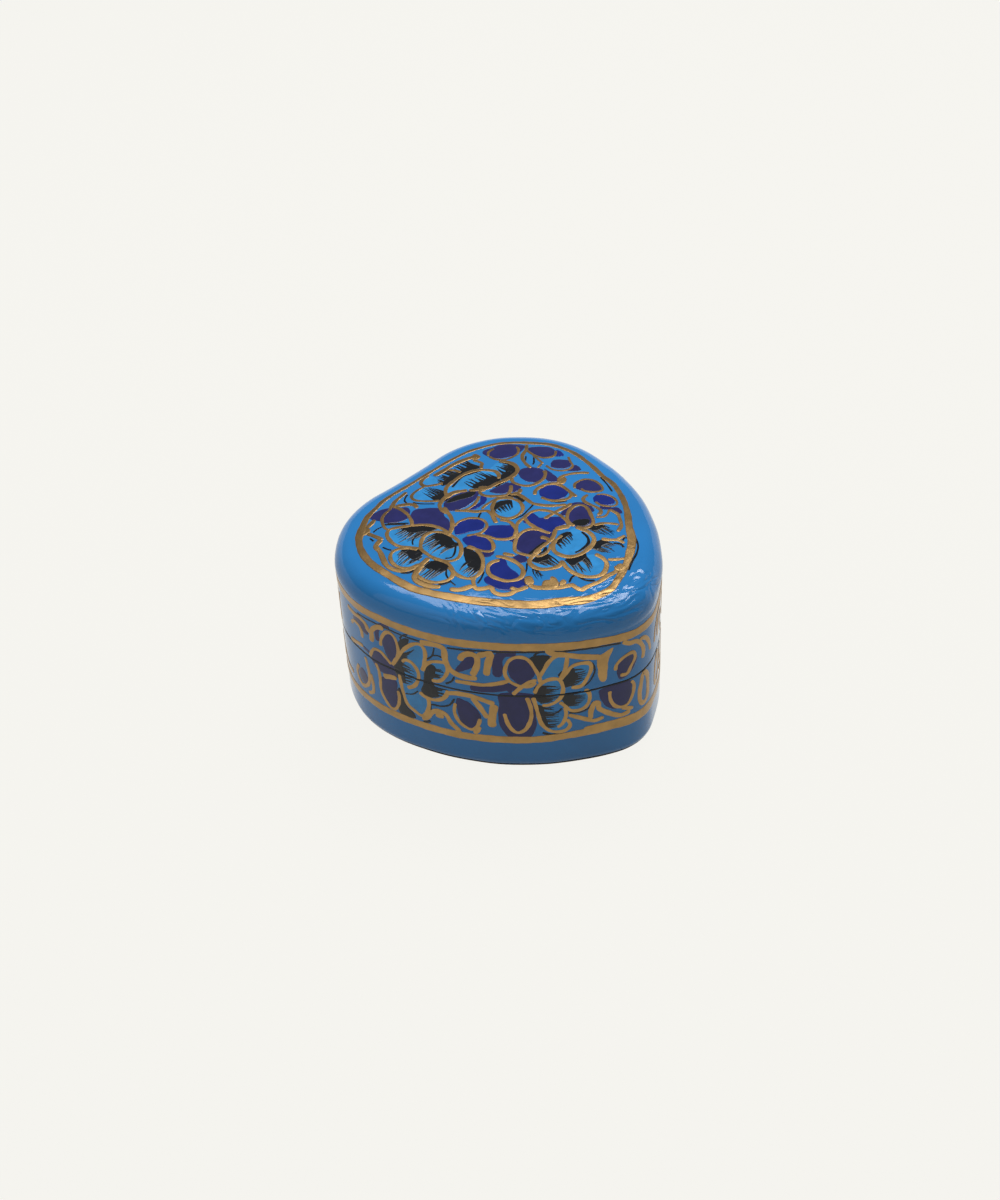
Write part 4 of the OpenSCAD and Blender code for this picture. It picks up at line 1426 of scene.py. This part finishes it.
def cut_at_seam(bm, height, keep_above):
    """The part of a flat layer above or below a height, with its cut ends closed"""
    part = bm.copy()
    cut = bmesh.ops.bisect_plane(
        part, geom=[*part.verts, *part.edges, *part.faces], plane_co=(0, height, 0),
        plane_no=(0, 1, 0), clear_inner=keep_above, clear_outer=not keep_above)
    edges = [item for item in cut["geom_cut"] if isinstance(item, bmesh.types.BMEdge)]
    bmesh.ops.holes_fill(part, edges=edges, sides=0)
    return part


class OBJECT_OT_top_painting(bpy.types.Operator):
    """Paints the flowers, buds, scrolls and border on the top of the lid"""

    bl_idname = "painted_box.top_painting"
    bl_label = "Top painting"

    def execute(self, context):
        heart = Heart(context.scene.box_sizes)
        layers = paint_motifs([(motif, None) for motif in TOP_MOTIFS],
                              lambda points, shift: points, TOP_GOLD_FULLNESS)
        for colour, bm in layers.items():
            wrap_and_finish(bm, heart.top_point, f"top_{colour}_paint", "lid", colour)
        return {"FINISHED"}


class OBJECT_OT_wall_painting(bpy.types.Operator):
    """Paints the flowers and bands that run round the walls, across the seam"""

    bl_idname = "painted_box.wall_painting"
    bl_label = "Wall painting"

    # One copy of the motifs is turned over from side to side, and another moved on round the back
    TURNED = 8.0
    MOVED = 132.0
    # How far the hand of the painter strays when it repeats a motif
    STRAY = 0.2

    def execute(self, context):
        heart = Heart(context.scene.box_sizes)
        shake = random.Random("wall copies")

        def move(points, shift):
            """Points of a mark where its copy lies, with the mark flat across the seam"""
            made = []
            for point in points:
                distance, height = point[:2]
                if shift == "turned":
                    distance = self.TURNED - distance
                elif shift == "moved":
                    distance += self.MOVED
                if shift:
                    distance += shake.uniform(-self.STRAY, self.STRAY)
                    height += shake.uniform(-self.STRAY, self.STRAY)
                made.append((distance, heart.flat_height(distance, height), *point[2:]))
            return made

        motifs = [(motif, None) for motif in (*WALL_MOTIFS, WALL_TIP_BUDS, WALL_BANDS)]
        motifs += [(motif, "turned") for motif in (*WALL_MOTIFS, WALL_TIP_BUDS)]
        motifs += [(motif, "moved") for motif in WALL_MOTIFS]
        layers = paint_motifs(motifs, move, WALL_GOLD_FULLNESS)
        for colour, bm in layers.items():
            for body, gap in (("lid", 0.5 * heart.rim), ("base", -1.2 * heart.rim)):
                part = cut_at_seam(bm, heart.seam_height + gap, gap > 0)
                wrap_and_finish(part, heart.wall_point, f"{body}_wall_{colour}_paint", body, colour)
            bm.free()
        return {"FINISHED"}


class OBJECT_OT_lid_board(bpy.types.Operator):
    """Adds the crowned top board of the lid with its soft shoulder"""

    bl_idname = "painted_box.lid_board"
    bl_label = "Lid board"

    def execute(self, context):
        heart = Heart(context.scene.box_sizes)
        under_inset = heart.wall + heart.under_radius
        shoulder_end = math.pi / 2 - heart.crown_slope
        under_steps = 6
        crown_steps = 26
        rings = [underside_ring(heart, step / under_steps, under_inset)
                 for step in range(under_steps)]
        rings += round_rings(heart, under_inset, heart.under_height - heart.under_radius,
                             heart.under_radius, math.pi / 2, 0, 5, False)
        rings += [level_ring(heart, heart.wall, heart.lid_joint)]
        inner = len(rings)
        rings += round_rings(heart, heart.shoulder - heart.bulge, heart.shoulder_middle,
                             heart.shoulder, -heart.bulge_angle, shoulder_end, 16)
        rings += [top_ring(heart, 1 - step / crown_steps) for step in range(1, crown_steps + 1)]
        bm = loft(heart, rings, [BLACK] * inner + [LACQUER] * (len(rings) - inner))
        piece = finish_piece(bm, "lid_top_lacquered", "lid", shell_materials())
        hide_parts("lid_top")
        return {"FINISHED"}


class OBJECT_OT_lid_wall(bpy.types.Operator):
    """Adds the lacquered wall of the lid"""

    bl_idname = "painted_box.lid_wall"
    bl_label = "Lid wall"

    def execute(self, context):
        heart = Heart(context.scene.box_sizes)
        rim = heart.rim
        seam = heart.seam_height
        rings = level_rings(heart, heart.wall, heart.lid_joint, seam + rim, 6)
        rings += [level_ring(heart, heart.wall - rim, seam)]
        rings += round_rings(heart, rim, seam + rim, rim, -math.pi / 2, 0, 4)
        # The lacquer reaches into the rim's round, and its lowest part is black: the inside's black
        # paint lapping over, which also serves as painted shade in the seam's gap
        black = len(rings) - 3
        rings += level_rings(heart, 0, seam + 1.5 * rim, heart.lid_joint, 24, 0)
        rings += [level_ring(heart, heart.wall, heart.lid_joint)]
        bm = loft(heart, rings, [BLACK] * black + [LACQUER] * (len(rings) - black))
        piece = finish_piece(bm, "lid_wall_lacquered", "lid", shell_materials())
        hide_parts("lid_wall")
        return {"FINISHED"}


class OBJECT_OT_base_wall(bpy.types.Operator):
    """Adds the lacquered wall of the base"""

    bl_idname = "painted_box.base_wall"
    bl_label = "Base wall"

    def execute(self, context):
        heart = Heart(context.scene.box_sizes)
        rim = heart.rim
        seam = heart.seam_height
        rings = [level_ring(heart, heart.wall, seam), level_ring(heart, heart.wall, heart.floor)]
        rings += round_rings(heart, heart.foot, heart.foot, heart.foot, -heart.foot_joint, 0, 5)
        rings += level_rings(heart, 0, heart.foot + 0.6, seam - 1.2 * rim, 24, 0)
        # The whole rim is black, from the last of the level rings on: the inside's black paint lapping
        # over, reaching a little below the round as painted shade in the seam's gap
        rim_start = len(rings) - 1
        rings += round_rings(heart, rim, seam - rim, rim, 0, math.pi / 2, 4)
        rings += [level_ring(heart, heart.wall, seam)]
        slots = [BLACK] + [LACQUER] * (rim_start - 1) + [BLACK] * (len(rings) - rim_start)
        bm = loft(heart, rings, slots)
        piece = finish_piece(bm, "base_wall_lacquered", "base", shell_materials())
        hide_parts("base_wall")
        return {"FINISHED"}


class OBJECT_OT_base_floor(bpy.types.Operator):
    """Adds the floor board, whose rounded edge is lacquered down to the black underside, whose black
    also serves as painted shadow along the bottom edge
    """

    bl_idname = "painted_box.base_floor"
    bl_label = "Base floor"

    def execute(self, context):
        heart = Heart(context.scene.box_sizes)
        turn = 6 * math.pi / heart.half_length

        def edge_ring(share):
            """Ring of the lacquered edge, which ends where the brush left off by hand"""
            def place(distance):
                wander = (2 + math.sin(turn * distance) + math.sin(2 * turn * distance + 2)) / 4
                angle = -heart.foot_joint - math.radians(0.6 + 3 * wander) * share
                return heart.skin_point(distance, heart.foot * (1 - math.cos(angle)),
                                        heart.foot * (1 + math.sin(angle)), angle)
            return place

        def flat_ring(share, height):
            """Ring of the board's upper or lower face"""
            return lambda distance: heart.flat_point(distance, share, height)

        rings = [flat_ring(share, heart.floor) for share in (0, 0.3, 0.6, 0.9)]
        blue_start = len(rings)
        rings += [edge_ring(share) for share in (0, 0.33, 0.66, 1)]
        blue_end = len(rings) - 1
        # From here down the round is black: the underside's paint lapping up the edge, and also
        # painted shadow where the box meets the floor
        rings += round_rings(heart, heart.foot, heart.foot, heart.foot,
                             math.radians(-32), -math.pi / 2, 6)
        rings += [flat_ring(share, 0) for share in (0.8, 0.5, 0.2, 0)]
        slots = [LACQUER if blue_start <= ring < blue_end else BLACK
                 for ring in range(len(rings))]
        bm = loft(heart, rings, slots)
        piece = finish_piece(bm, "base_floor_painted", "base",
                             shell_materials("Black underside"))
        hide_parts("base_floor")
        return {"FINISHED"}


class OBJECT_OT_collar(bpy.types.Operator):
    """Adds the black collar that the lid slides over"""

    bl_idname = "painted_box.collar"
    bl_label = "Collar"

    def execute(self, context):
        heart = Heart(context.scene.box_sizes)
        pared = heart.wall + heart.lid_play
        inner = pared + heart.collar_wall
        rounding = 0.4
        top = heart.collar_top
        rings = level_rings(heart, inner, top - rounding, heart.floor, 6)
        rings += [level_ring(heart, heart.wall, heart.floor),
                  level_ring(heart, heart.wall, heart.seam_height),
                  level_ring(heart, pared, heart.seam_height)]
        rings += round_rings(heart, pared + rounding, top - rounding, rounding, 0, math.pi / 2, 4)
        rings += [level_ring(heart, inner - rounding + rounding * math.sin(angle),
                             top - rounding + rounding * math.cos(angle))
                  for angle in (0, math.pi / 8, math.pi / 4, 3 * math.pi / 8, math.pi / 2)]
        bm = loft(heart, rings)
        piece = finish_piece(bm, "collar_painted", "base",
                             [bpy.data.materials["Black inside"]])
        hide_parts("collar")
        return {"FINISHED"}


# Name, place, aim, size and power in watts of each lamp
LAMPS = (
    ("overhead_softbox", (0.209, 0.175, 0.565), (0, 0, 0.03), (0.35, 0.266), 1.7),
    ("side_softbox", (0.33, 0.04, 0.53), (0, 0, 0.03), (0.32, 0.19), 1.1),
    ("fill_softbox", (-0.6, 0.1, 0.6), (0, 0, 0.02), (0.7, 0.7), 0.9),
)
ROOM_COLOUR = (0.95, 0.97, 1.0, 1)
ROOM_STRENGTH = 0.27
# Where the camera stands, 350 mm off the box, what it looks at and how far it is rolled
CAMERA_PLACE = Vector((-0.18771, -0.1876, 0.235))
CAMERA_TARGET = Vector((0.001773, 0.007074, 0.014461))
CAMERA_ROLL = math.radians(-3.06)
LENS = 54
SENSOR_WIDTH = 36


def add_object(scene, name, data):
    """Puts new data into the scene as an object"""
    made = bpy.data.objects.new(name, data)
    made.rotation_mode = "QUATERNION"
    scene.collection.objects.link(made)
    return made


class SCENE_OT_stage(bpy.types.Operator):
    """Adds the pale floor, the soft lights and the camera"""

    bl_idname = "painted_box.stage"
    bl_label = "Stage"

    def execute(self, context):
        scene = context.scene
        self.add_floor(scene)
        self.light_room(scene)
        for lamp in LAMPS:
            self.add_lamp(scene, *lamp)
        self.add_camera(scene)
        scene.view_settings.view_transform = "Standard"
        return {"FINISHED"}

    @staticmethod
    def add_floor(scene):
        """A round floor that sweeps up far behind the box"""
        bm = bmesh.new()
        circle = bmesh.ops.create_circle(bm, cap_ends=True, segments=96, radius=2.5)
        rim = list({edge for vertex in circle["verts"] for edge in vertex.link_edges})
        for spread, rise in ((1.16, 0.02), (1.14, 0.08), (1.1, 0.16), (1.06, 0.26), (1.02, 0.4)):
            grown = bmesh.ops.extrude_edge_only(bm, edges=rim)["geom"]
            verts = [item for item in grown if isinstance(item, bmesh.types.BMVert)]
            rim = [item for item in grown if isinstance(item, bmesh.types.BMEdge)]
            bmesh.ops.scale(bm, vec=(spread, spread, 1), verts=verts)
            bmesh.ops.translate(bm, vec=(0, 0, rise), verts=verts)
        bmesh.ops.recalc_face_normals(bm, faces=bm.faces)
        bmesh.ops.reverse_faces(bm, faces=[face for face in bm.faces if face.normal.z < 0])
        mesh = bpy.data.meshes.new("pale_floor")
        bm.to_mesh(mesh)
        bm.free()
        mesh.materials.append(floor_material("Pale floor", tuple(scene.paint_colours.floor)))
        floor = add_object(scene, "pale_floor", mesh)

    @staticmethod
    def light_room(scene):
        """A plain soft light from all round"""
        world = bpy.data.worlds.new("Soft room")
        scene.world = world
        world.use_nodes = True
        room = world.node_tree.nodes["Background"]
        room.inputs["Color"].default_value = ROOM_COLOUR
        room.inputs["Strength"].default_value = ROOM_STRENGTH

    @staticmethod
    def add_lamp(scene, name, place, aim, size, power):
        """A soft lamp at a place, turned towards its aim"""
        lamp = bpy.data.lights.new(name, "AREA")
        lamp.shape = "RECTANGLE"
        lamp.size, lamp.size_y = size
        lamp.energy = power
        holder = add_object(scene, name, lamp)
        holder.location = place
        holder.rotation_quaternion = (Vector(aim) - Vector(place)).to_track_quat("-Z", "Y")

    @staticmethod
    def add_camera(scene):
        """The camera, which stands where the photograph was taken from"""
        data = bpy.data.cameras.new("camera")
        data.lens = LENS
        data.sensor_width = SENSOR_WIDTH
        data.clip_start = 0.01
        camera = add_object(scene, "camera", data)
        camera.location = CAMERA_PLACE
        turn = (CAMERA_TARGET - CAMERA_PLACE).to_track_quat("-Z", "Y")
        camera.rotation_quaternion = turn @ Quaternion((0, 0, 1), CAMERA_ROLL)
        scene.camera = camera


class VIEW3D_PT_painted_box(bpy.types.Panel):
    """Sidebar panel with the box's sizes, colours and pieces"""

    bl_label = "Painted Box"
    bl_space_type = "VIEW_3D"
    bl_region_type = "UI"
    bl_category = "Painted Box"

    def draw(self, context):
        for group in (context.scene.box_sizes, context.scene.paint_colours):
            for name in group.__annotations__:
                self.layout.prop(group, name)
        for step in STEPS:
            self.layout.operator(step.bl_idname)


STEPS = (
    OBJECT_OT_lid_board,
    OBJECT_OT_lid_wall,
    OBJECT_OT_base_wall,
    OBJECT_OT_base_floor,
    OBJECT_OT_collar,
    OBJECT_OT_top_painting,
    OBJECT_OT_wall_painting,
    SCENE_OT_stage,
)
CLASSES = (BoxSizes, PaintColours, *STEPS, VIEW3D_PT_painted_box)


def register():
    """Makes the operators, the panel and the settings known"""
    for cls in CLASSES:
        bpy.utils.register_class(cls)
    bpy.types.Scene.box_sizes = PointerProperty(type=BoxSizes)
    bpy.types.Scene.paint_colours = PointerProperty(type=PaintColours)


def unregister():
    """Takes them away again"""
    del bpy.types.Scene.paint_colours
    del bpy.types.Scene.box_sizes
    for cls in reversed(CLASSES):
        bpy.utils.unregister_class(cls)


def make_materials(colours):
    """The lacquer and the paints"""
    lacquer_material("Blue lacquer", tuple(colours.azure))
    black_material("Black inside", tuple(colours.black), roughness=0.35, ior=1.45)
    black_material("Black underside", tuple(colours.black), roughness=0.6, ior=1.1)
    paint_material("Black paint", tuple(colours.black))
    paint_material("Navy paint", tuple(colours.navy))
    paint_material("Royal paint", tuple(colours.royal))
    paint_material("Pale paint", tuple(colours.pale))
    # The gold is darkened on the top as painted shade
    paint_material("Gold paint", tuple(colours.gold), metallic=0.8, roughness=0.27, painted_top_shade=0.75)


def main():
    """Builds the box and its stage"""
    register()
    make_materials(bpy.context.scene.paint_colours)
    for step in STEPS:
        group, name = step.bl_idname.split(".")
        getattr(getattr(bpy.ops, group), name)()


if __name__ == "__main__":
    main()
